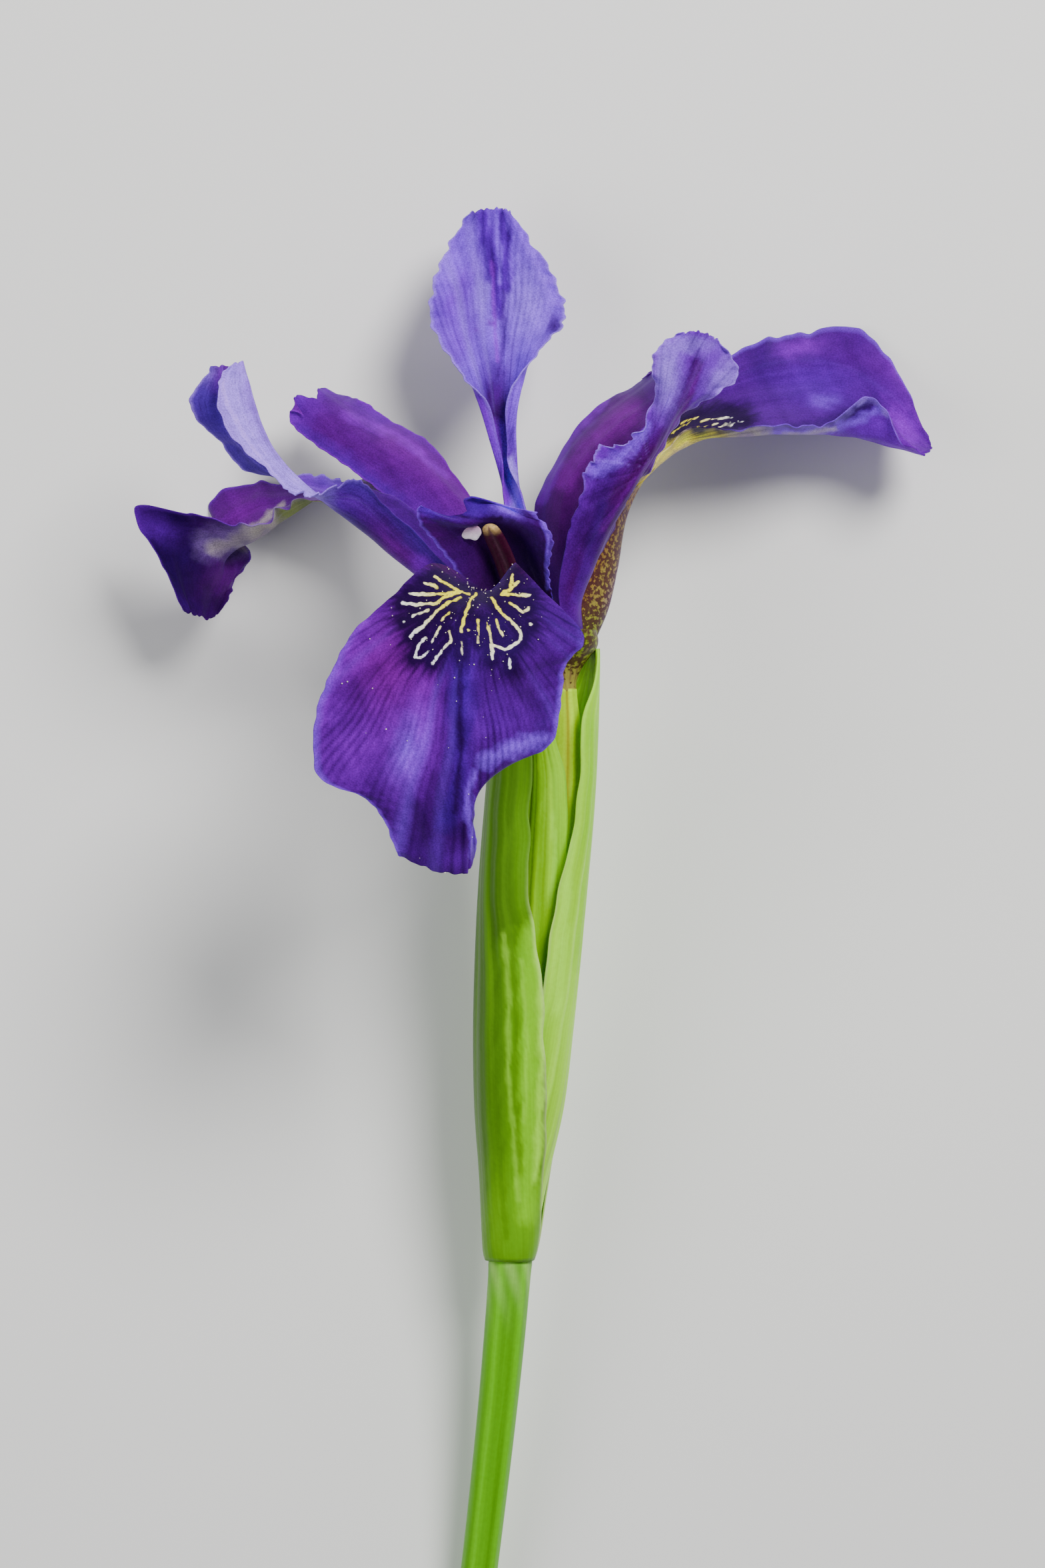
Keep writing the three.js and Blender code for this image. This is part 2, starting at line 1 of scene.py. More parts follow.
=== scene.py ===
"""A wild iris flower, picked with its stem and laid on its back, seen from above.

Lengths are millimetres, laid out from the neck between ovary and floral tube: X to the right of the
flower's face, Y up the stem, Z to the front, which is up for the flower as it lies.
"""
import random

import bpy
import numpy as np
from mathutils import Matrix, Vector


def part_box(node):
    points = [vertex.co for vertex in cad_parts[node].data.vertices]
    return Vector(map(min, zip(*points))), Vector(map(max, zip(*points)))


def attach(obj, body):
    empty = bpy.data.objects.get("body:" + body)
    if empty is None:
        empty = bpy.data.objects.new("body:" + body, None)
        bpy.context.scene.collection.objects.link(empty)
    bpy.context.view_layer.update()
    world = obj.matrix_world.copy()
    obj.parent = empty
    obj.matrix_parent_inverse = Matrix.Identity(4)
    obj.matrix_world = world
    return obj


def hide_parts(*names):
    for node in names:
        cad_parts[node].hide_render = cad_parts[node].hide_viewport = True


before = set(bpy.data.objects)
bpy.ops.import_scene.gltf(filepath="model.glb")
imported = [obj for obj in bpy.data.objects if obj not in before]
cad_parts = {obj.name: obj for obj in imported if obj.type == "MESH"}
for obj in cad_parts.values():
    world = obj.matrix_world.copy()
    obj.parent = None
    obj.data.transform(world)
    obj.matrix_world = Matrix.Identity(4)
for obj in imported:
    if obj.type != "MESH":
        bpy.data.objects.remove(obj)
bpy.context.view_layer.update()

# The place of the flower.
# The cut end of the stem is the flower's lowest left corner in the layout, and its box in the frame
# says where the whole flower was set down.
STEM_CORNER = (-14.8, -124, -24.7)
SET_DOWN = np.array(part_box("stem")[0]) * 1000 - np.array(STEM_CORNER)


def metres(points):
    """Layout millimetres to metres in the frame."""
    return (np.asarray(points, float) + SET_DOWN) / 1000


# Camera.
# It looks straight down on the lying flower, along the photo's line of sight. A long lens, 600 mm
# above the neck, keeps the petals' proportions.
CAMERA_PLACE = (-4.9, -11.02, 600)
LENS = 120
SENSOR = 36

camera_data = bpy.data.cameras.new("camera")
camera_data.lens = LENS
camera_data.sensor_width = SENSOR
camera = bpy.data.objects.new("camera", camera_data)
camera.location = metres(CAMERA_PLACE)
bpy.context.scene.collection.objects.link(camera)
bpy.context.scene.camera = camera


# Stem.
# A smooth, solid green flower stalk with fine long fibres and a pale waxy bloom under the collar, cut
# straight across. It bends gently, and its lower end rests on the surface.
AXIS = [
    (-12.6, -124, -22.5), (-9.8, -102, -19), (-7.6, -82, -15.7), (-6.3, -66.5, -13),
    (-5.7, -54, -10.7), (-3.5, -38, -7.5), (-1.2, -24, -4.7), (-0.1, -13, -2.6),
    (0.1, -5, -1), (0, 0, 0),
]
# Height and radius.
STEM_RADII = [
    (-124, 2.12), (-123.7, 2.2), (-104, 2.2), (-85, 2.35), (-72, 2.48), (-69, 2.52),
    (-67.9, 2.56), (-67.2, 2.6), (-66.9, 2.5), (-66.6, 1.9), (-64, 1.8),
]
STEM_SIDES = 64
STEM_STEP = 0.5
COLLAR_HEIGHT = -67
BLOOM_SPREAD = 5
STEM_GREEN = "50960a"
STEM_LIGHT = "68c000"
STEM_BLOOM = "b8e878"
CUT_PITH = "c9dd9a"
# A round piece's map is its turn over FULL_TURN and its height over MAP_HEIGHT. The relief of the
# skins is in metres.
FULL_TURN = 6.28
MAP_HEIGHT = 60
SKIN_RELIEF = 0.00004


def linear(hex_value):
    """The linear RGBA of an sRGB hex value."""
    parts = [int(hex_value[k:k + 2], 16) / 255 for k in (0, 2, 4)]
    return [c / 12.92 if c <= 0.04045 else ((c + 0.055) / 1.055) ** 2.4 for c in parts] + [1]


def smooth_curve(points, shares):
    """Points of a smooth curve at shares from 0 to 1, in even steps from one given point to the next."""
    given = np.asarray(points, float)
    padded = np.vstack([2 * given[0] - given[1], given, 2 * given[-1] - given[-2]])
    place = np.asarray(shares, float) * (len(given) - 1)
    first = np.clip(np.floor(place).astype(int), 0, len(given) - 2)
    part = (place - first)[..., None]
    before, start, end, after = (padded[first + k] for k in range(4))
    leave = (end - before) / 2
    arrive = (after - start) / 2
    bend = -3 * start + 3 * end - 2 * leave - arrive
    close = 2 * start - 2 * end + leave + arrive
    return start + part * (leave + part * (bend + part * close))


def by_height(rows, heights):
    """Smooth values from rows that start with their height."""
    table = np.asarray(rows, float)
    steps = np.interp(heights, table[:, 0], np.linspace(0, 1, len(table)))
    return smooth_curve(table[:, 1:], steps)


def add_node(tree, kind, settings=(), links=()):
    """A node with its settings and its inputs. A link's source is an output, and a value is set."""
    node = tree.nodes.new(kind if "Node" in kind else "ShaderNode" + kind)
    for name, value in dict(settings).items():
        setattr(node, name, value)
    for socket, source in dict(links).items():
        if isinstance(source, bpy.types.NodeSocket):
            tree.links.new(source, node.inputs[socket])
        else:
            node.inputs[socket].default_value = source
    return node


def new_material(name):
    """A material with an empty node tree and its output."""
    material = bpy.data.materials.new(name)
    material.use_nodes = True
    material.node_tree.nodes.clear()
    return material, material.node_tree, material.node_tree.nodes.new("ShaderNodeOutputMaterial")


def add_piece(name, vertices, faces, materials, node, face_material=None):
    """A smooth mesh of the flower that stands for one CAD node. Vertices are in layout millimetres."""
    mesh = bpy.data.meshes.new(name)
    mesh.from_pydata(metres(vertices).tolist(), [], faces)
    for material in materials:
        mesh.materials.append(material)
    mesh.polygons.foreach_set("use_smooth", [True] * len(faces))
    if face_material is not None:
        mesh.polygons.foreach_set("material_index", face_material)
    mesh.update()
    piece = bpy.data.objects.new(name, mesh)
    bpy.context.scene.collection.objects.link(piece)
    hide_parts(node)
    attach(piece, "root")
    return piece


def set_uv(piece, u, v):
    """The piece's own UV map, given for each vertex."""
    mesh = piece.data
    corner = np.zeros(len(mesh.loops), int)
    mesh.loops.foreach_get("vertex_index", corner)
    values = np.stack([np.asarray(u)[corner], np.asarray(v)[corner]], 1)
    mesh.uv_layers.new(name="surface").data.foreach_set("uv", values.ravel())


def set_tint(piece, colors):
    """A colour for each vertex, linear."""
    attribute = piece.data.color_attributes.new("tint", "FLOAT_COLOR", "POINT")
    values = np.ones((len(piece.data.vertices), 4), np.float32)
    values[:, :3] = colors
    attribute.data.foreach_set("color", values.ravel())


def plain(hex_value, vertices):
    """One colour for all vertices, linear."""
    return np.tile(linear(hex_value)[:3], (len(vertices), 1))


def blend(base, over, share):
    """Colours for each vertex: over laid on base by its share."""
    return base + (np.asarray(over)[..., :3] - base) * np.asarray(share)[:, None]


def ring_turns(sides):
    """The turns of a ring's points, from the front over the right."""
    return np.linspace(0, 2 * np.pi, sides, endpoint=False)


def ring_points(centres, radii):
    """The points of level rings round their centres, with a radius for each point."""
    turn = ring_turns(radii.shape[1])
    out = np.stack([np.sin(turn), 0 * turn, np.cos(turn)], 1)
    return (centres[:, None] + radii[:, :, None] * out).reshape(-1, 3)


def ring_faces(rows, sides, joined=False):
    """Faces between neighbouring rings and, if joined, from the last ring to the first."""
    faces = []
    for row in range(rows if joined else rows - 1):
        here = row * sides
        above = (row + 1) % rows * sides
        for k in range(sides):
            following = (k + 1) % sides
            faces.append((here + k, here + following, above + following, above + k))
    return faces


def end_faces(rows, sides):
    """Fans that close the first and the last ring, from two end points that follow the rings."""
    last = (rows - 1) * sides
    faces = []
    for k in range(sides):
        following = (k + 1) % sides
        faces.append((rows * sides, following, k))
        faces.append((rows * sides + 1, last + k, last + following))
    return faces


def round_body(centres, radii):
    """Vertices and faces of a closed body through level rings. Radii may differ from side to side."""
    vertices = np.vstack([ring_points(centres, radii), centres[0], centres[-1]])
    return vertices, ring_faces(*radii.shape) + end_faces(*radii.shape)


def ring_places(turn, heights):
    """The turn and the height of each vertex of a round body, its two end points last."""
    turns = np.append(np.tile(turn, len(heights)), [0, 0])
    return turns, np.append(np.repeat(heights, len(turn)), heights[[0, -1]])


def tint_material(name, roughness, grain, fibres, streak, speck=0.06, gloss="ffffff", sheen=0, over=None):
    """Plant tissue that takes its colours from the piece's own tint, with fine veins along it.

    Fibres are the veins' numbers across and along the piece's map, and grain is the cells' size in mm.
    Streak and speck are how far each of them shades the colour. The nodes of over, if given, lay marks
    over the tint. The gloss is tinted, because a petal's and a leaf's shine takes on their colour.
    """
    material, tree, output = new_material(name)
    tint = add_node(tree, "Attribute", {"attribute_name": "tint"}).outputs["Color"]
    if over:
        tint = over(tree, tint)
    surface = add_node(tree, "UVMap", {"uv_map": "surface"}).outputs[0]
    stretch = add_node(tree, "Mapping", links={"Vector": surface, "Scale": (fibres[0], fibres[1], 1)})
    veins = add_node(tree, "TexNoise", links={"Vector": stretch.outputs[0], "Scale": 1, "Detail": 2})
    place = add_node(tree, "TexCoord").outputs["Object"]
    cells = add_node(tree, "TexNoise", links={"Vector": place, "Scale": 1000 / grain, "Detail": 1})
    shades = [
        add_node(tree, "MapRange", links={
            "Value": pattern.outputs[0], "From Min": 0.3, "From Max": 0.7,
            "To Min": 1 - strength, "To Max": 1 + strength,
        }).outputs[0]
        for pattern, strength in ((veins, streak), (cells, speck))
    ]
    shade = add_node(tree, "Math", {"operation": "MULTIPLY"}, {0: shades[0], 1: shades[1]})
    color = add_node(tree, "VectorMath", {"operation": "SCALE"}, {0: tint, "Scale": shade.outputs[0]})
    height = add_node(tree, "Math", {"operation": "MULTIPLY_ADD"}, {
        0: veins.outputs[0], 1: 0.4, 2: cells.outputs[0],
    })
    bump = add_node(tree, "Bump", links={
        "Strength": 0.5, "Distance": SKIN_RELIEF, "Height": height.outputs[0],
    })
    shader = add_node(tree, "BsdfPrincipled", links={
        "Base Color": color.outputs[0], "Roughness": roughness, "Normal": bump.outputs[0],
        "Specular IOR Level": 0.3, "Specular Tint": linear(gloss), "Sheen Weight": sheen,
        "Sheen Roughness": 0.4, "Sheen Tint": linear(gloss), "Subsurface Weight": 0.12,
        "Subsurface Radius": (0.0005, 0.0003, 0.0008), "Subsurface Scale": 1,
    })
    tree.links.new(shader.outputs[0], output.inputs[0])
    return material


turn = ring_turns(STEM_SIDES)
heights = np.arange(STEM_RADII[0][0], STEM_RADII[-1][0] + STEM_STEP / 2, STEM_STEP)
axis_by_height = [(y, x, y, z) for x, y, z in AXIS]
flutes = 1 + 0.006 * np.sin(9 * turn) + 0.005 * np.cos(14 * turn)
vertices, faces = round_body(by_height(axis_by_height, heights), by_height(STEM_RADII, heights) * flutes)
cut_end = len(vertices) - 2
cut_faces = [int(cut_end in face) for face in faces]
# Waxy skin: one soft, narrow highlight along the stem, and faint long fibres.
stem_skin = tint_material("stem skin", roughness=0.36, grain=0.5, fibres=(60, 6), streak=0.07,
                          speck=0.04, gloss="c8ff70")
# Cut pith: pale, matt and finely grained.
stem_cut = tint_material("cut stem pith", roughness=0.5, grain=0.3, fibres=(20, 20), streak=0.1,
                         speck=0.15)
stem = add_piece("stem", vertices, faces, [stem_skin, stem_cut], "stem", cut_faces)

ring_turn, ring_height = ring_places(turn, heights)
streaks = 0.5 + 0.35 * np.sin(5 * ring_turn + 0.03 * ring_height) + 0.2 * np.sin(11 * ring_turn)
colors = blend(plain(STEM_GREEN, vertices), linear(STEM_LIGHT), np.clip(streaks, 0, 1))
bloom = np.exp(-((ring_height - COLLAR_HEIGHT) / BLOOM_SPREAD) ** 2)
bloom *= 0.6 + 0.4 * np.sin(7 * ring_turn + ring_height)
colors = blend(colors, linear(STEM_BLOOM), 0.5 * bloom)
cut = np.clip(STEM_RADII[1][0] - ring_height, 0, 1)
cut[cut_end] = 1
set_tint(stem, blend(colors, linear(CUT_PITH), cut))
set_uv(stem, ring_turn / FULL_TURN, ring_height / MAP_HEIGHT)


# Ovary.
# Three ribbed lobes in one yellow-green body under the flower, with a brown line in the groove between
# two of them. Its stalk runs down inside the sheaths.
OVARY_RADII = [
    (-53.7, 1.05), (-42, 1.1), (-31, 1.35), (-25, 1.75), (-19, 1.9), (-11, 1.9), (-5, 1.75),
    (-1.8, 1.4), (0.3, 1.3),
]
OVARY_SIDES = 60
OVARY_STEP = 0.4
OVARY_LOBES = 0.07
GROOVE_TURN = np.radians(8)
GROOVE_SPREAD = 0.16
GROOVE_FOOT = -22
OVARY_GREEN = "b4dc00"
OVARY_LIGHT = "d0ff10"
GROOVE_BROWN = "885520"

turn = ring_turns(OVARY_SIDES)
heights = np.arange(OVARY_RADII[0][0], OVARY_RADII[-1][0], OVARY_STEP)
lobes = 1 + OVARY_LOBES * (np.abs(np.sin(1.5 * (turn - GROOVE_TURN))) - 0.65)
vertices, faces = round_body(by_height(axis_by_height, heights), by_height(OVARY_RADII, heights) * lobes)
# Young, juicy skin: softly glossy, with a bright yellow shine along the ribs.
ovary_skin = tint_material("ovary skin", roughness=0.42, grain=0.4, fibres=(40, 3), streak=0.1,
                           speck=0.05, gloss="d8ff70")
ovary = add_piece("ovary", vertices, faces, [ovary_skin], "ovary")

ring_turn, ring_height = ring_places(turn, heights)
from_groove = (ring_turn - GROOVE_TURN + np.pi) % (2 * np.pi) - np.pi
groove = np.exp(-(from_groove / GROOVE_SPREAD) ** 2) * np.clip((ring_height - GROOVE_FOOT) / 8, 0, 1)
ribs = 0.5 + 0.5 * np.sin(6 * ring_turn)
colors = blend(plain(OVARY_GREEN, vertices), linear(OVARY_LIGHT), ribs)
set_tint(ovary, blend(colors, linear(GROOVE_BROWN), 0.75 * groove))
set_uv(ovary, ring_turn / FULL_TURN, ring_height / MAP_HEIGHT)


# Floral tube.
# The short trumpet on top of the ovary from which all petals grow: yellow-green, with brown-violet
# veins that run up into the claws of the falls. It is fuller on its right side.
TUBE_FOOT = np.array([0, 0, 0])
TUBE_MOUTH = np.array([-1.15, 5.2, 0.75])
TUBE_RADII = [
    (-0.4, 1.22), (0.5, 1.35), (1.2, 1.6), (2.6, 2.25), (3.8, 3.1), (4.7, 3.95), (5.6, 4.45), (6.8, 4.75),
]
TUBE_SIDES = 120
TUBE_STEP = 0.15
TUBE_WALL = 0.35
TUBE_BORE = 0.3
TUBE_SHOULDER = 0.85
SHOULDER_HEIGHT = 4.4
SHOULDER_SPREAD = 2.5
SPOT_SIZE = 0.5
# The numbers of a Mix node's colour sockets, whose names its other sockets have too.
MIX_SHARE, MIX_UNDER, MIX_OVER, MIXED = 0, 6, 7, 2
PIGMENTS = {
    "tube cream": "a09440", "tube vein": "601838", "olive green": "7f9010", "olive yellow": "8a7a10",
    "brown": "3c0c14", "night": "18002a", "yellow": "fff000", "white": "ffffff",
}


def pigment(name):
    """A painted colour, linear."""
    return np.array(linear(PIGMENTS[name])[:3])


def mark_nodes(tree, color):
    """Nodes that lay the brown spots of tube and claws, and a fall's signal, over a colour.

    The mesh's marks give the distance into the signal's lines in mm, their yellow, and how many spots.
    The distance is cut off sharply here, so that the lines are crisper than the mesh.
    """
    marks = add_node(tree, "Attribute", {"attribute_name": "marks"})
    distance, yellow, many = add_node(tree, "SeparateXYZ", links={0: marks.outputs["Vector"]}).outputs
    place = add_node(tree, "TexCoord").outputs["Object"]
    blotches = add_node(tree, "TexNoise", links={"Vector": place, "Scale": 1000 / SPOT_SIZE, "Detail": 2})
    level = add_node(tree, "Math", {"operation": "MULTIPLY_ADD"}, {
        0: many, 1: 0.24, 2: blotches.outputs[0],
    }).outputs[0]
    line = add_node(tree, "Mix", {"data_type": "RGBA"}, {
        MIX_SHARE: yellow, MIX_UNDER: linear(PIGMENTS["white"]), MIX_OVER: linear(PIGMENTS["yellow"]),
    }).outputs[MIXED]
    layers = [
        (level, 0.66, 0.74, 0.85, linear(PIGMENTS["brown"])),
        (distance, -2.2, -1, 0.55, linear(PIGMENTS["night"])),
        (distance, -1.1, -0.45, 0.93, linear(PIGMENTS["night"])),
        (distance, -0.04, 0.05, 0.95, line),
    ]
    for measure, start, full, strength, over in layers:
        share = add_node(tree, "MapRange", links={
            "Value": measure, "From Min": start, "From Max": full, "To Min": 0, "To Max": strength,
        })
        color = add_node(tree, "Mix", {"data_type": "RGBA"}, {
            MIX_SHARE: share.outputs[0], MIX_UNDER: color, MIX_OVER: over,
        }).outputs[MIXED]
    return color


def set_marks(piece, inside, yellow, spots):
    """The marks for each vertex."""
    values = np.stack([inside + 0 * spots, yellow + 0 * spots, spots], 1)
    piece.data.attributes.new("marks", "FLOAT_VECTOR", "POINT").data.foreach_set("vector", values.ravel())


turn = ring_turns(TUBE_SIDES)
heights = np.arange(TUBE_RADII[0][0], TUBE_RADII[-1][0], TUBE_STEP)
centres = TUBE_FOOT + (TUBE_MOUTH - TUBE_FOOT) * (heights / TUBE_MOUTH[1])[:, None]
outer = by_height(TUBE_RADII, heights) * (1 + 0.02 * np.cos(6 * turn))
shoulder = TUBE_SHOULDER * np.exp(-((heights - SHOULDER_HEIGHT) / SHOULDER_SPREAD) ** 2)
outer = outer + shoulder[:, None] * np.clip(np.sin(turn), 0, 1) ** 2
wall = TUBE_WALL * np.clip((7.2 - heights) / 2, 0.3, 1)
inner = np.maximum(outer - wall[:, None], TUBE_BORE)
vertices = np.vstack([ring_points(centres, outer), ring_points(centres[::-1], inner[::-1])])
faces = ring_faces(2 * len(heights), TUBE_SIDES, joined=True)
# Fleshy skin: a dull shine, broken up by the brown spots that lie in it.
tube_skin = tint_material("floral tube skin", roughness=0.45, grain=0.4, fibres=(40, 3), streak=0.1,
                          speck=0.05, over=mark_nodes)
tube = add_piece("floral_tube", vertices, faces, [tube_skin], "floral_tube")

ring_turn = np.tile(turn, 2 * len(heights))
ring_height = np.append(np.repeat(heights, TUBE_SIDES), np.repeat(heights[::-1], TUBE_SIDES))
waver = 0.8 * np.sin(ring_height * 1.7 + 3 * ring_turn)
veins = np.clip(np.sin(15 * ring_turn + waver) * 1.6 - 0.3, 0, 1) * np.clip((ring_height + 0.5) / 2, 0, 1)
colors = plain(PIGMENTS["tube cream"], vertices)
colors = blend(colors, pigment("olive green"), np.clip((ring_height - 1.5) / 2.5, 0, 1))
set_tint(tube, blend(colors, pigment("tube vein"), 0.55 * veins))
set_marks(tube, -3, 0, 0.1 + 0.9 * np.clip((ring_height - 0.5) / 2.5, 0, 1))
set_uv(tube, ring_turn / FULL_TURN, ring_height / MAP_HEIGHT)


# Sheaths and bract.
# Two stiff green leaves folded round the flower's stalk, one inside the other, and a thin pale bract
# inside both. Each has fine parallel veins and a thin whitish, slightly wavy margin.
# Height, the centre's x and z, and the half widths sideways and to the front.
WRAP = [
    (-66.5, -6.3, -13, 3.05, 2.95), (-57.5, -5.65, -11.35, 4, 3.75), (-48.5, -4.95, -9.6, 5.25, 4.8),
    (-39.5, -4.45, -7.8, 5.85, 5.3), (-30.5, -3.85, -6, 6.2, 5.6), (-21.5, -3.25, -4.3, 6.38, 5.75),
    (-12.5, -2.55, -2.6, 6.4, 5.7), (-3.5, -1.95, -0.8, 6.2, 5.5), (5.5, -1.5, 1, 5.9, 5.2),
]
BRACT_WRAP = [
    (-54, -5.7, -10.7, 1.65, 1.65), (-44, -4.3, -8.7, 2.25, 2.1), (-34, -3.3, -6.7, 2.7, 2.5),
    (-24, -2.2, -4.9, 3.1, 2.8), (-14, -1.5, -2.8, 3.25, 2.95), (-4, -1, -0.8, 3.15, 2.85),
]
SHEATH_ROWS = 140
SHEATH_COLUMNS = 90
SHEATH_THICK = 0.5
SHEATH_RIB = 0.014
SHEATH_SWELL = 0.12
FOOT_PINCH = 0.28
MARGIN_WAVER = 1.6
# From and to are the turns of the two margins, in degrees from the front over the right, in even steps
# from foot to tip. Inset is how far the leaf lies inside its outline.
SHEATHS = {
    # The outer leaf's deep greens are partly its own colour and partly painted shade, where the front fall
    # shades it.
    "sheath_outer": {
        "slot": "sheath_skin", "outline": WRAP, "foot": -66.75, "tip": 1.7, "inset": 0,
        "from": [-268, -255, -235, -218, -205, -198, -196, -186, -110],
        "to": [82, 52, 34, 22, 11, -6, -12, -17, -60],
        "base": "426f04", "light": "5c9406", "dark": "355c02", "ribs": 26, "seed": 3,
    },
    "sheath_inner": {
        "slot": "inner_sheath_skin", "outline": WRAP, "foot": -63.5, "tip": 4.5, "inset": 0.62,
        "from": [-40, -25, -8, 6, 17, 23, 36, 45, 46, 94],
        "to": [232, 226, 219, 212, 205, 200, 192, 186, 180, 127],
        "base": "a8ec20", "light": "c0ff48", "dark": "90cc08", "ribs": 22, "seed": 5,
    },
    "bract": {
        "slot": "bract_skin", "outline": BRACT_WRAP, "foot": -54, "tip": -2.5, "inset": 0,
        "from": [-250, -232, -212, -196, -180, -152, -112],
        "to": [100, 88, 66, 52, 40, 26, -20],
        "base": "98d800", "light": "b4f404", "dark": "80c000", "ribs": 16, "seed": 7,
    },
}
PIGMENTS.update({
    "leaf": "426f04", "leaf light": "66a80a", "leaf bright": "8cd804", "leaf pale": "b8ff40",
    "leaf margin": "d4f090",
})
SHEATH_MARKS = {
    # The outer leaf's wide leaf light and leaf bright bands and patches down its right middle are painted
    # light, on the side the light falls on.
    "sheath_outer": {
        "patches": [
            ("", "leaf light", 0.6, -4.4, -18.9, 2, 9, 0), ("", "leaf bright", 0.6, -5.4, -61, 3.4, 6, 0),
        ],
        "lines": [
            ("", "leaf light", 0.75, 4, [
                (-5.4, -30.4), (-5.4, -35.9), (-5.5, -45.2), (-5.7, -55.4), (-6, -65.1),
            ]),
            ("", "leaf bright", 0.85, 2.2, [
                (-3.9, -28.2), (-3.9, -35.9), (-4.1, -43.6), (-4.1, -53), (-4.4, -61.1),
            ]),
            ("", "leaf pale", 0.8, 0.8, [
                (-3.4, -26.6), (-2.8, -34.3), (-2.7, -43.6), (-3, -51.5), (-3.4, -57),
            ]),
            ("", "leaf pale", 0.35, 0.5, [
                (-7, -28.2), (-6.4, -35.9), (-6.6, -43.6), (-5.8, -53), (-5.4, -59.4),
            ]),
            ("", "leaf pale", 0.3, 0.4, [(-5, -31.2), (-4.4, -40.5), (-4.7, -49.9)]),
            ("", "leaf", 0.5, 0.7, [(-6.3, -28.2), (-5.6, -37.4), (-5.8, -46.8), (-5.1, -56.2)]),
            ("", "leaf", 0.45, 0.7, [(-7.9, -46.8), (-7.4, -56.2), (-6.9, -64.1)]),
        ],
    },
    "sheath_inner": {
        "patches": [("", "leaf pale", 0.5, 0.2, -36, 2, 8, 0)],
        "lines": [
            ("", "leaf pale", 0.7, 0.9, [
                (1.5, -3.7), (1.3, -8.3), (0.3, -20.5), (-0.1, -28.2), (-0.9, -37.5),
            ]),
            ("", "leaf bright", 0.5, 1.2, [(3.2, -3.7), (3.1, -11.3), (2.5, -22.1), (1.6, -32.1)]),
        ],
    },
    "bract": {
        "patches": [
            ("", "leaf light", 0.8, -3.8, -11.3, 1.2, 9, 0), ("", "leaf pale", 0.3, -1, -11.3, 1.4, 8, 0),
        ],
        "lines": [("", "leaf pale", 0.5, 0.5, [(-1.4, -14.4), (-1.2, -19.8), (-1.7, -25.2)])],
    },
}


def ripple(places, spacing, seed):
    """A smooth uneven wave along places, about -1 to 1, with crests about spacing apart."""
    draw = random.Random(seed)
    total = 0
    for share, stretch in ((0.6, 1), (0.35, 0.57), (0.3, 1.83)):
        total = total + share * np.sin(2 * np.pi * places / (spacing * stretch) + draw.uniform(0, FULL_TURN))
    return total


def near_line(x, y, line):
    """Distance from places to a bent line."""
    best = np.full(x.shape, 1e9)
    for (ax, ay), (bx, by) in zip(line, line[1:]):
        dx, dy = bx - ax, by - ay
        share = np.clip(((x - ax) * dx + (y - ay) * dy) / (dx * dx + dy * dy), 0, 1)
        best = np.minimum(best, np.hypot(x - ax - share * dx, y - ay - share * dy))
    return best


def soft(distance, half_width, edge):
    """1 within half_width, 0 beyond it, over a soft edge."""
    return np.clip((half_width + edge / 2 - distance) / edge, 0, 1)


def paint_marks(colors, x, y, marks, chosen):
    """Soft patches, then lines, laid over the colours at places seen from the camera."""
    wander = 0.25 * ripple(y + 0.5 * x, 2.3, 1) + 0.12 * ripple(x - y, 0.9, 6)
    stray = 0.25 * ripple(x - 0.4 * y, 2.1, 2) + 0.12 * ripple(x + 0.7 * y, 0.8, 7)
    for where, name, strength, px, py, half_x, half_y, turn in marks["patches"]:
        c, s = np.cos(np.radians(turn)), np.sin(np.radians(turn))
        dx, dy = x + stray - px, y + wander - py
        far = ((dx * c + dy * s) / half_x) ** 2 + ((dy * c - dx * s) / half_y) ** 2
        colors = blend(colors, pigment(name), strength * np.exp(-far) * chosen[where])
    for where, name, strength, width, line in marks["lines"]:
        near = near_line(x + stray * min(width, 1), y + wander * min(width, 1), line)
        colors = blend(colors, pigment(name), strength * soft(near, width / 2, width * 0.7) * chosen[where])
    return colors


def thick_sheet(middle, thickness):
    """Vertices and faces of a closed sheet round a grid of middle points: its front, then its back."""
    rows, columns = middle.shape[:2]
    normal = np.cross(np.gradient(middle, axis=0), np.gradient(middle, axis=1))
    normal /= np.linalg.norm(normal, axis=2)[..., None] + 1e-12
    half = (np.asarray(thickness) / 2)[..., None]
    vertices = np.vstack([(middle + normal * half).reshape(-1, 3), (middle - normal * half).reshape(-1, 3)])
    front = np.arange(rows * columns).reshape(rows, columns)
    back = front + rows * columns
    quads = [
        (front[:-1, :-1], front[1:, :-1], front[1:, 1:], front[:-1, 1:]),
        (back[1:, 1:], back[1:, :-1], back[:-1, :-1], back[:-1, 1:]),
        (front[:-1, 0], back[:-1, 0], back[1:, 0], front[1:, 0]),
        (front[:-1, -1], front[1:, -1], back[1:, -1], back[:-1, -1]),
        (front[0, :-1], front[0, 1:], back[0, 1:], back[0, :-1]),
        (front[-1, :-1], back[-1, :-1], back[-1, 1:], front[-1, 1:]),
    ]
    faces = np.vstack([np.stack(corners, -1).reshape(-1, 4) for corners in quads])
    return vertices, faces.tolist()


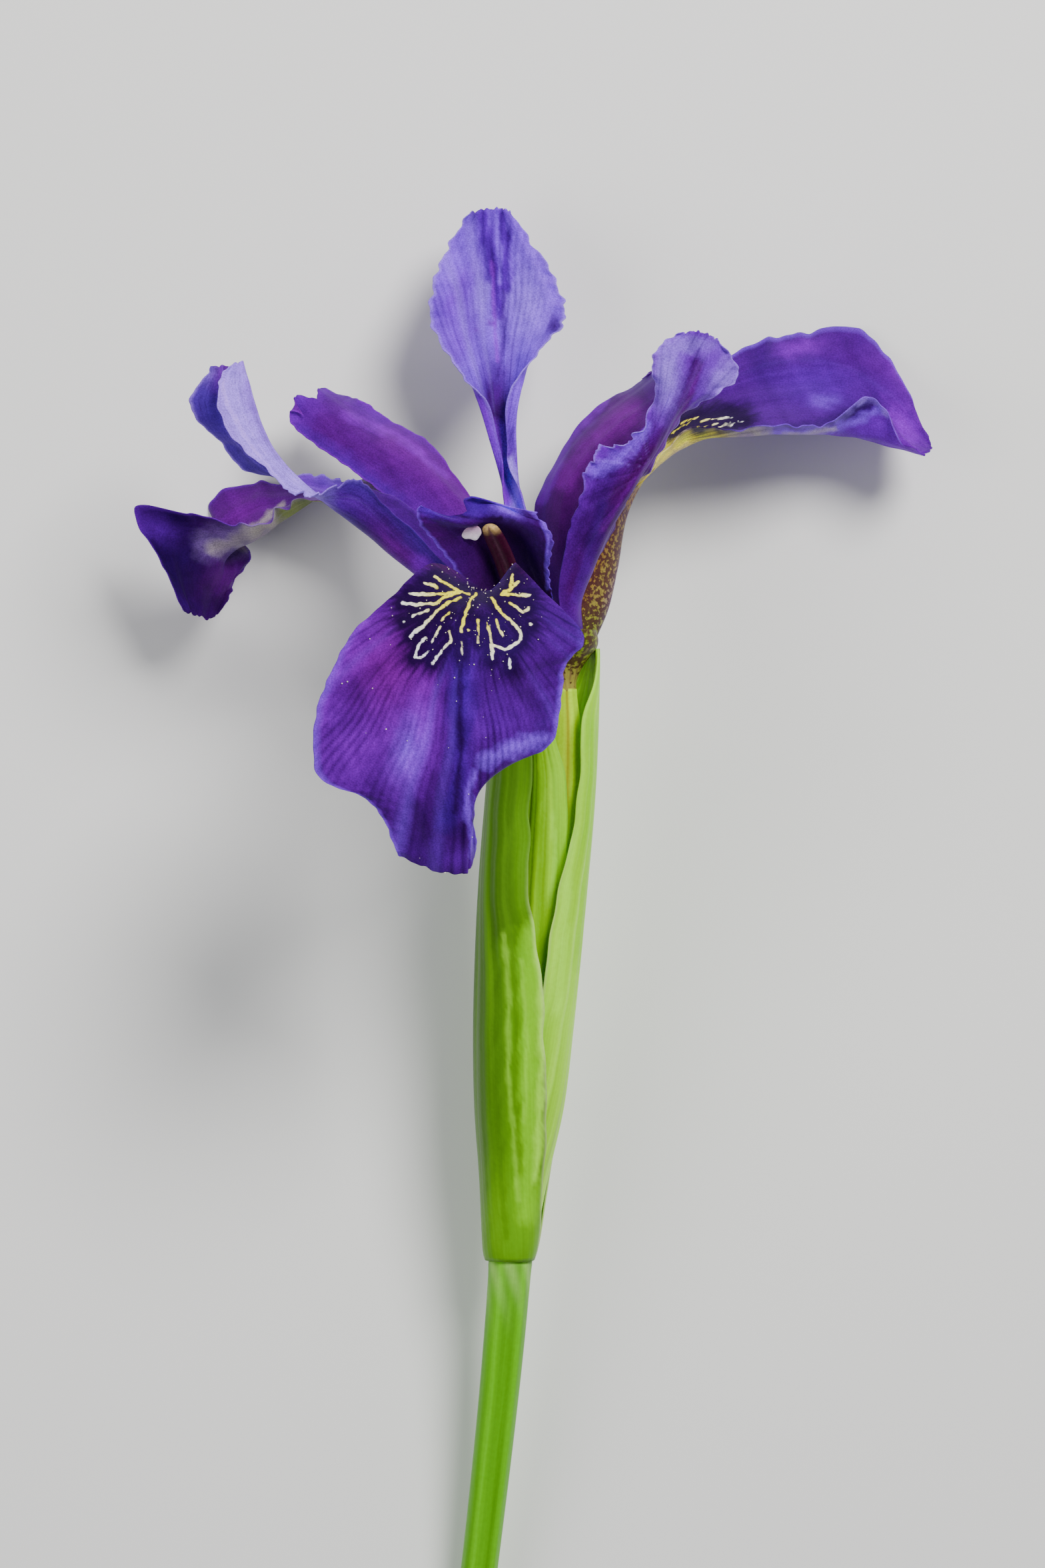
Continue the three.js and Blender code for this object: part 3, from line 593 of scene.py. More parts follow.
def sheath_middle(sheath, share, across, edge):
    """The grid of a folded leaf's middle points: rings round the stalk, open between its two margins."""
    heights = sheath["foot"] + (sheath["tip"] - sheath["foot"]) * share
    rings = by_height(sheath["outline"], heights)
    start, end = (smooth_curve([[angle] for angle in sheath[key]], share)[:, 0] for key in ("to", "from"))
    waver = MARGIN_WAVER * ripple(heights, 9, sheath["seed"])[:, None] * (edge < 0.5) * (1 - 2 * across)
    angle = np.radians(start[:, None] + (end - start)[:, None] * across + waver)
    ribs = SHEATH_RIB * np.cos(2 * np.pi * sheath["ribs"] * across) * np.clip(edge * 12, 0, 1)
    swell = ripple(across * 9 + 0 * share[:, None], 1.4, sheath["seed"] + 1) * np.sin(share * 3.1)[:, None]
    pinch = FOOT_PINCH * np.exp(-(heights - sheath["foot"]) / 0.7)[:, None]
    lift = ribs + SHEATH_SWELL * swell - pinch - sheath["inset"]
    return np.stack([
        rings[:, :1] + (rings[:, 2:3] + lift) * np.sin(angle),
        heights[:, None] + 0 * angle,
        rings[:, 1:2] + (rings[:, 3:4] + lift) * np.cos(angle),
    ], 2)


share = np.linspace(0, 1, SHEATH_ROWS)
across = np.linspace(0, 1, SHEATH_COLUMNS)
edge = np.minimum(across, 1 - across)
thickness = np.tile(SHEATH_THICK * np.clip(0.3 + edge * 10, 0, 1), (SHEATH_ROWS, 1))
u = np.tile(across, 2 * SHEATH_ROWS)
v = np.tile(np.repeat(share, SHEATH_COLUMNS), 2)
for name, sheath in SHEATHS.items():
    vertices, faces = thick_sheet(sheath_middle(sheath, share, across, edge), thickness)
    # Waxy leaf: a soft shine along the parallel veins, which show as fine light and dark streaks.
    leaf_skin = tint_material(name.replace("_", " ") + " leaf", roughness=0.36, grain=0.5,
                              fibres=(70, 2), streak=0.08, speck=0.03, gloss="c8ff70")
    piece = add_piece(name, vertices, faces, [leaf_skin], name)
    streaks = 0.5 + 0.5 * ripple(u * 40 + 2 * np.sin(v * 3), 5, sheath["seed"] + 2)
    patchy = 0.5 + 0.5 * ripple(v * 10 + u * 3, 4, sheath["seed"] + 3)
    light = linear(sheath["light"])
    colors = plain(sheath["base"], vertices)
    colors = blend(colors, linear(sheath["dark"]), np.clip(0.7 - streaks, 0, 1))
    colors = blend(colors, light, np.clip(streaks * 1.4 - 0.75, 0, 1) * (0.4 + 0.6 * patchy))
    colors = blend(colors, light, 0.6 * np.clip(1 - v * 9, 0, 1))
    colors = paint_marks(colors, vertices[:, 0], vertices[:, 1], SHEATH_MARKS[name], {"": 1})
    rim = np.exp(-(np.minimum(u, 1 - u) / 0.012) ** 2) * np.clip(2.6 - 3.4 * v, 0.15, 1)
    set_tint(piece, blend(colors, pigment("leaf margin"), 0.6 * rim))
    set_uv(piece, u, v)


# Petals.
# Thin, velvety blades that bend out from narrow claws. Every blade is drawn by its midrib and its two
# margins, from foot to tip, with left and right as seen on the side that faces the flower's middle.
# What a petal says beside its lines:
#   grid    the numbers of its rows and columns
#   waves   height and number of the broad waves of its margins
#   frill   height and spacing of the fine waves of its margins
#   notch   depth and spacing of the margins' nicks
#   folds   height and spacing of the soft folds of its blade
#   crimps  stretches of crinkled margin: side, start, end, height, spacing
#   beaks   pointed corners of a margin: side, place, width, reach
#   hems    rolled stretches of margin: side, start, end, share of the width, degrees
#   lobes   how far the left and the right half of its tip reach out
#   round   how far the corners of its tip are drawn back
#   rise    the share of its length where waves and folds begin
#   lip     where a style arm's stigma lip grows, by its shares along and across
#   tilt    how far that lip stands off the arm, in degrees
# A petal starts a little before its first point, inside the mouth of the tube.
PETAL_START = -0.02
PETAL_HANDLE = 0.4
PETALS = {
    "fall_front": {
        "slot": "fall_petal", "grid": (270, 161), "frill": (0.1, 3.4), "notch": (0.1, 3.2),
        "folds": (0.1, 2.2), "seed": 11,
        "midrib": [
            (-2.5, 5.9, 4.5), (-5.1, 7.7, 12), (-7.6, 9.2, 20), (-9.4, 9.9, 25.5),
            (-10.7, 7.5, 29.5), (-11.4, 3.3, 31), (-11.7, -1.3, 31.2), (-11.9, -5.5, 31),
            (-11.9, -9.5, 30.5), (-11.7, -13.9, 29.5), (-11.6, -17.5, 28), (-11.6, -20.9, 26),
        ],
        "left": [
            (-3.8, 5.9, 4), (-7, 8.6, 11.5), (-10.2, 11.1, 19), (-14.6, 13.2, 24),
            (-18.7, 10, 26.5), (-23.3, 5.8, 27.5), (-25.9, 1.1, 28), (-27.5, -3.4, 27.8),
            (-27.4, -9.9, 27), (-22.3, -12.5, 28), (-19.8, -15.7, 27.5), (-18.4, -19.4, 25.5),
        ],
        "right": [
            (-1.3, 5.9, 4.9), (-3.3, 9.1, 12), (-4.5, 11.7, 18), (-5.6, 13.2, 24),
            (-2.1, 9.8, 26), (1.8, 5.2, 25.5), (-0.2, 1.9, 26.5), (-0.7, -2.2, 26.8),
            (-2.3, -7.1, 27), (-9, -9.3, 28.5), (-10.2, -13.6, 28), (-9.9, -19, 26),
        ],
        "waves": (0.5, 4.5),
    },
    "fall_right": {
        "slot": "fall_petal", "grid": (190, 101), "frill": (0.22, 3.6), "notch": (0.18, 3),
        "folds": (0.14, 2.6), "seed": 21,
        "midrib": [
            (3.4, 5.9, 0), (4.7, 9.4, -1), (5.8, 14, -2.4), (6.9, 19.9, -3.8),
            (9.8, 25.5, -6), (15, 29.2, -9), (20.9, 30.4, -11.5), (26.9, 30.9, -13.5),
            (32, 30.6, -14.5), (37.1, 29.2, -14.5), (41.9, 27.8, -13.5),
        ],
        "left": [
            (1.8, 5.9, 1.6), (1.3, 9.1, 2.3), (2.2, 13.8, 2.2), (4.2, 19.6, 1.5),
            (9, 24.3, -1), (14.4, 29.7, -4), (20.3, 30.3, -5), (26.1, 30.3, -6),
            (30.9, 31.3, -8), (36, 33.7, -9), (40.1, 28.5, -10),
        ],
        "right": [
            (2.5, 5.9, -1.4), (3.9, 9.9, -4.5), (4.5, 14.6, -6.5), (6.8, 22.5, -9),
            (9.8, 29.1, -12), (15.6, 36.5, -16.5), (21.7, 40.6, -20.5), (27.8, 42.9, -24),
            (34.2, 43.3, -24), (39.6, 38.8, -22), (42.8, 30.4, -17),
        ],
        "lobes": (1, 1), "waves": (0.4, 5),
    },
    "fall_left": {
        "slot": "fall_petal", "grid": (180, 101), "frill": (0.2, 3.8), "notch": (0.15, 4),
        "folds": (0.12, 2.6), "seed": 31,
        "crimps": [(1, 0.42, 0.78, 0.7, 5.5)], "beaks": [(1, 0.8, 0.035, 1.8)],
        "midrib": [
            (-4.7, 5.9, -1), (-9.2, 10.6, -4), (-15.7, 17.2, -8.5), (-21.4, 22.2, -12),
            (-26.8, 23.8, -15), (-32, 21.2, -17), (-36.1, 18.5, -17.8), (-39.5, 16.4, -17.5),
            (-41.2, 13.6, -15.5), (-42.1, 10.7, -13), (-42.2, 8.5, -11),
        ],
        "left": [
            (-4.1, 5.9, -2.2), (-8.7, 11.7, -7), (-15, 19.1, -12), (-20.5, 24.7, -16),
            (-26.9, 24.8, -19), (-32.5, 24.2, -22), (-36.9, 25.4, -24), (-42, 21.7, -24.5),
            (-37.6, 16.3, -22), (-38.8, 12.9, -18), (-40.2, 9, -13.5),
        ],
        "right": [
            (-5.3, 5.9, 0.1), (-10.2, 10, -1), (-16.9, 15.8, -4.5), (-22.6, 20.4, -7.5),
            (-28.4, 21.6, -9.5), (-33.4, 21.7, -11), (-36.5, 18.7, -12.5), (-42.2, 20.5, -11),
            (-48.6, 20.2, -10), (-47.4, 14.7, -10), (-44.3, 8.8, -10),
        ],
        "waves": (0.6, 5),
    },
    "standard_back": {
        "slot": "standard_petal", "grid": (180, 111), "frill": (0.3, 2.9), "notch": (0.3, 2.6),
        "folds": (0.14, 3), "seed": 41, "round": 0.1, "rise": 0.5,
        "hems": [(-1, 0.33, 0.66, 0.78, 140), (1, 0.33, 0.64, 0.82, 130)],
        "midrib": [
            (-0.6, 5.9, -3), (-3, 11.8, -5), (-5.1, 18.1, -6.2), (-6.5, 24.7, -8),
            (-7.2, 31, -9.5), (-7.5, 37, -11), (-7.8, 43.4, -12.5), (-8, 49.7, -13.5),
            (-8, 56.6, -14),
        ],
        "left": [
            (0.6, 5.9, -2.8), (-1.7, 11.8, -3.9), (-3.7, 17.9, -4.7), (-5.4, 24.6, -5.2),
            (-5.7, 32, -6), (-3.3, 38.7, -8), (0, 43.1, -10), (-1.3, 48.4, -12),
            (-6.4, 56.4, -13.5),
        ],
        "right": [
            (-1.7, 5.9, -3.2), (-4.4, 11.8, -4.1), (-6.4, 17.9, -5.1), (-7.5, 24.6, -5.7),
            (-9.7, 32.3, -6), (-12.2, 36.8, -8), (-15.6, 43.1, -10), (-14.6, 49.9, -12),
            (-11.2, 56.1, -13.5),
        ],
        "waves": (0.6, 5),
    },
    "standard_left": {
        "slot": "standard_petal", "grid": (170, 91), "frill": (0.14, 2.8), "notch": (0.12, 3),
        "folds": (0.08, 2.6), "seed": 51, "round": 0.4,
        "crimps": [(1, 0.43, 0.64, 0.6, 1.6), (-1, 0.4, 0.62, 0.28, 1.7)],
        "midrib": [
            (-5, 5.9, 1.8), (-9.4, 8.6, 4), (-14.1, 11, 6), (-19, 14.5, 7.5),
            (-23.1, 17.9, 8.5), (-27.6, 21.2, 9), (-31.6, 24.8, 9), (-34.2, 28.6, 8),
            (-35.6, 32.6, 6.5), (-36.9, 36.9, 5),
        ],
        "left": [
            (-5.3, 5.9, 0.8), (-8.4, 11.6, 0.9), (-13.6, 17, 0.8), (-19.3, 21.4, 1.3),
            (-24.3, 23.6, 2), (-30.5, 23.9, 3), (-36.6, 25.4, 3), (-40.9, 28.9, 3),
            (-42.4, 33, 3), (-40.9, 36.9, 4),
        ],
        "right": [
            (-4.7, 5.9, 3), (-9.6, 10.3, 6.5), (-14.6, 14.7, 9.5), (-18.7, 19.1, 11.5),
            (-23.2, 22.6, 12.5), (-28.4, 21.8, 13), (-33.3, 23.3, 12.5), (-37.1, 28.1, 11.5),
            (-39.8, 33.9, 9), (-38.1, 36.6, 7),
        ],
        "waves": (0.6, 4.5),
    },
    "standard_right": {
        "slot": "standard_petal", "grid": (160, 91), "frill": (0.2, 2.5), "notch": (0.22, 2.4),
        "folds": (0.12, 3), "seed": 61, "round": 0.4,
        "crimps": [(-1, 0.42, 0.74, 0.6, 3.4), (-1, 0.42, 0.68, 0.35, 1.2)],
        "midrib": [
            (1, 5.9, 4), (1.1, 9.5, 5.5), (2.5, 13.6, 7.5), (4.4, 18, 10),
            (7, 22.6, 12.5), (9.5, 27.1, 14.5), (11.6, 31.5, 16.5), (13.7, 35.4, 18),
            (15.4, 39.1, 19),
        ],
        "left": [
            (0.1, 5.9, 4.7), (-0.8, 10.6, 6.5), (-0.1, 15.4, 9), (1.1, 19.8, 11.5),
            (2.7, 25.1, 13.5), (7.1, 27.9, 14), (10, 31.9, 16), (9.5, 36.6, 18),
            (12.7, 39.3, 19),
        ],
        "right": [
            (2, 5.9, 3.3), (1.8, 9.8, 3.2), (3.3, 13.7, 5), (5.4, 18.3, 7.5),
            (8.1, 22.7, 10), (11.3, 27.7, 12), (15, 31.7, 14.5), (19.2, 34.5, 16.5),
            (17.4, 38.3, 18),
        ],
        "waves": (0.6, 4.5),
    },
    "style_arm_front": {
        "slot": "style_petal", "grid": (120, 91), "frill": (0.08, 2.4), "notch": (0.14, 1.7),
        "folds": (0.04, 3), "seed": 71,
        "midrib": [
            (-1.8, 5.9, 1.6), (-3.7, 10.5, 5.8), (-5.4, 14.1, 10), (-6.7, 17.1, 14),
            (-8.5, 18.6, 17), (-11.1, 19.4, 17.5),
        ],
        "left": [
            (-2.4, 5.9, 1.4), (-6.1, 9, 6.5), (-10.3, 10.8, 11), (-13.3, 14.1, 14.5),
            (-16.2, 17.6, 17), (-16.9, 20.2, 18),
        ],
        "right": [
            (-1.2, 5.9, 1.8), (-1.4, 9.4, 4.5), (-1.7, 10.9, 8), (-1.9, 13.4, 12),
            (-1.6, 17, 15), (-4.1, 19.5, 17),
        ],
        "lobes": (1.3, 1.6), "waves": (0.3, 2), "lip": (0.8, -0.35), "tilt": 105,
    },
    "style_arm_right": {
        "slot": "style_petal", "grid": (120, 71), "frill": (0.08, 3), "notch": (0.12, 3),
        "folds": (0.04, 3), "seed": 81, "round": 3,
        "midrib": [
            (0.1, 5.9, 0.5), (-1.1, 10.8, 0.5), (-1.2, 16.2, 0), (-0.5, 22.4, -1.5),
            (2.1, 27.2, -4), (6, 31.2, -6.5), (10.3, 34.5, -8.5), (12.7, 36.9, -9.5),
        ],
        "left": [
            (0.2, 5.9, 1.1), (-0.4, 10.4, 2.2), (0.3, 15.4, 1.5), (1.8, 20.4, 0.5),
            (4.4, 25.1, -1), (8.3, 29.1, -3.5), (12.7, 32.6, -6), (14.2, 35.6, -8),
        ],
        "right": [
            (-0.1, 5.9, -0.1), (-2.4, 12.5, -2.5), (-3.2, 17.6, -4), (-3, 22.3, -5.5),
            (-0.2, 28.4, -8.5), (4.1, 32.9, -11), (8.1, 36, -13), (11.2, 38.2, -14),
        ],
        "lobes": (1.5, 1.5), "waves": (0.4, 3), "lip": (0.78, 0), "tilt": 35,
    },
    "style_arm_left": {
        "slot": "style_petal", "grid": (120, 71), "frill": (0.08, 3), "notch": (0.12, 3),
        "folds": (0.04, 3), "seed": 91, "round": 3,
        "midrib": [
            (-2.3, 5.9, 0.2), (-5.2, 11.5, 0), (-9.8, 16.9, -1.5), (-14.8, 23, -4),
            (-19.1, 26.6, -7), (-23.5, 29.5, -10), (-27.1, 32.4, -12.5), (-29, 34.1, -13.8),
        ],
        "left": [
            (-2.1, 5.9, -0.4), (-3.7, 13.4, -2.5), (-7.1, 18, -4), (-11.4, 22.7, -6.4),
            (-16.1, 29.2, -11), (-21, 32.1, -14.5), (-24.4, 34.2, -16), (-26.6, 35.5, -17),
        ],
        "right": [
            (-2.6, 5.9, 0.7), (-6.6, 9.7, 0.3), (-12.1, 14.8, -1.8), (-17.9, 20.3, -4),
            (-22.2, 23.7, -7), (-27, 26.9, -10), (-31.7, 31.1, -13), (-32.4, 33.6, -14),
        ],
        "lobes": (1.6, 1.6), "waves": (0.4, 3), "lip": (0.78, 0), "tilt": 35,
    },
}


def petal_lines(petal, rows):
    """Shares along a petal, its midrib, its margins, and its directions on, across and inwards."""
    along = np.linspace(PETAL_START, 1, rows)
    middle = smooth_curve(petal["midrib"], along)
    margins = {-1: smooth_curve(petal["left"], along), 1: smooth_curve(petal["right"], along)}
    tangent = np.gradient(middle, along, axis=0)
    tangent /= np.linalg.norm(tangent, axis=1)[:, None]
    across = margins[1] - margins[-1]
    across -= tangent * (across * tangent).sum(1)[:, None]
    across /= np.linalg.norm(across, axis=1)[:, None]
    return along, middle, margins, tangent, across, np.cross(tangent, across)


def plain_blade(petal, q, along, middle, margins, tangent, across):
    """A petal's grid before its fine form: in each row, a curve from the midrib out to each margin."""
    grid = np.zeros((len(along), len(q), 3))
    late = np.maximum(0, (along - 0.8) / 0.2) ** 2
    for side in (-1, 1):
        chosen = np.sign(q + 1e-9) == side
        r = np.abs(q[chosen])[None, :, None]
        chord = margins[side] - middle
        handle = PETAL_HANDLE * np.linalg.norm(chord, axis=1)[:, None]
        start, end = middle[:, None], margins[side][:, None]
        leave = (middle + side * across * handle)[:, None]
        arrive = (margins[side] - PETAL_HANDLE * chord)[:, None]
        inner = (1 - r) ** 3 * start + 3 * (1 - r) ** 2 * r * leave
        outer = 3 * (1 - r) * r ** 2 * arrive + r ** 3 * end
        reach = petal.get("lobes", (0, 0))[0 if side < 0 else 1]
        lobe = reach * 4 * r[0, :, 0] * (1 - r[0, :, 0])
        grid[:, chosen] = inner + outer + tangent[:, None] * (late[:, None] * lobe[None])[..., None]
    return grid


def roll_hems(petal, grid, q, along, middle, tangent):
    """Rolls stretches of the margins over, each round a line at its share of the width."""
    for side, start, end, hinge, degrees in petal.get("hems", []):
        share = np.clip((along - start) / 0.12, 0, 1) * np.clip((end - along) / 0.2, 0, 1)
        share = (share * share * (3 - 2 * share))[:, None, None]
        own = np.where(np.sign(q) == side)[0]
        out = np.abs(q[own])
        flat = middle[:, None] + (grid[:, own] - middle[:, None]) * (1 + share * (1 / hinge - 1))
        fold = np.argmin(np.abs(out - hinge))
        line = flat[:, fold:fold + 1]
        flap = flat - line
        angle = np.radians(degrees) * share * side * (out > hinge)[None, :, None]
        axis = tangent[:, None]
        turned = flap * np.cos(angle) + np.cross(axis, flap) * np.sin(angle)
        turned += axis * (axis * flap).sum(2, keepdims=True) * (1 - np.cos(angle))
        grid[:, own] = line + turned


def petal_surface(petal):
    """A petal's grid of middle points, its shares along, and across from -1 to 1."""
    rows, columns = petal["grid"]
    even = np.linspace(-1, 1, columns)
    q = np.sin(even * np.pi / 2) * 0.35 + even * 0.65
    along, middle, margins, tangent, across, inside = petal_lines(petal, rows)
    grid = plain_blade(petal, q, along, middle, margins, tangent, across)
    roll_hems(petal, grid, q, along, middle, tangent)

    seed = petal["seed"]
    size = np.abs(q)[None]
    side = np.sign(q)[None]
    step = along[:, None]
    place = step * np.linalg.norm(np.diff(middle, axis=0), axis=1).sum() + 0 * size
    rising = np.clip((step - petal.get("rise", 0.22)) / 0.25, 0, 1)

    def both_margins(spacing, left_seed):
        return np.where(side < 0, ripple(place, spacing, left_seed), ripple(place, spacing, left_seed + 1))

    # Waves and crinkles of the margins, out of the blade and sideways.
    height, count = petal["waves"]
    wave = rising * height * size ** 3 * np.sin(2 * np.pi * count * step + q[None])
    height, spacing = petal["frill"]
    wave += rising * height * size ** 4 * both_margins(spacing, seed)
    outward = 0 * wave
    for own_side, start, end, height, spacing in petal.get("crimps", []):
        share = np.clip((step - start) / 0.05, 0, 1) * np.clip((end - step) / 0.05, 0, 1)
        crinkle = share * (side == own_side) * height * ripple(place, spacing, seed + 7)
        wave += size ** 6 * crinkle
        outward += 0.4 * size ** 8 * crinkle
    for own_side, centre, width, reach in petal.get("beaks", []):
        share = np.exp(-((step - centre) / width) ** 2)
        outward += share * (side == own_side) * reach * size ** 6

    # Soft folds of the blade, nicks of the margins, and a rounded, ruffled tip.
    height, spacing = petal["folds"]
    broad = ripple(q[None] * 5 + 0.25 * ripple(place, 17, seed + 2), spacing, seed + 3)
    broad = broad + 0.5 * ripple(place + 3 * q[None], 6.5, seed + 8)
    grid += inside[:, None] * (wave + height * rising * broad * (1 - size ** 4))[..., None]
    depth, spacing = petal["notch"]
    nicks = depth * rising * size ** 6 * both_margins(spacing, seed + 4)
    grid += across[:, None] * (side * (nicks + outward))[..., None]
    back = petal.get("round", 0.8) * size ** 4 * np.maximum(0, (step - 0.93) / 0.07) ** 2
    ruffle = 0.16 * np.clip((step - 0.9) * 10, 0, 1) * ripple(q[None] * 7, 2.3, seed + 6)
    grid += tangent[:, None] * (ruffle - back)[..., None]
    return grid, along, q


# Colours of the petals.
# Dark, blue and red violets that run into each other, with green, ochre and brown on the claws and a
# yellow and white signal on the falls. Some lilac and lavender patches and lines are painted
# highlights where light glances off folds and curled margins, the magenta down two style arms is
# partly a painted glow of light through them, and some dark patches are painted shade in hollows.
PIGMENTS.update({
    "deep violet": "460074", "bright violet": "50009a", "blue violet": "3c0088", "blue lit": "4c00b0",
    "ink blue": "2a0052", "night blue": "22003f", "dusk": "36005a", "soft violet": "6800b0",
    "slate violet": "3c1c80", "slate light": "4c2898", "lavender": "8448ee", "pale lavender": "a884ff",
    "lilac": "8c00d0", "magenta violet": "72008c", "magenta": "600080", "arm magenta": "4e006a",
    "plum": "480068", "dusk magenta": "39004c", "deep magenta": "450052", "wine": "480038",
    "umber": "301309", "maroon": "29091a", "cream green": "b0a898", "ochre": "7a4a08",
    "violet grey": "7a5c9c",
})
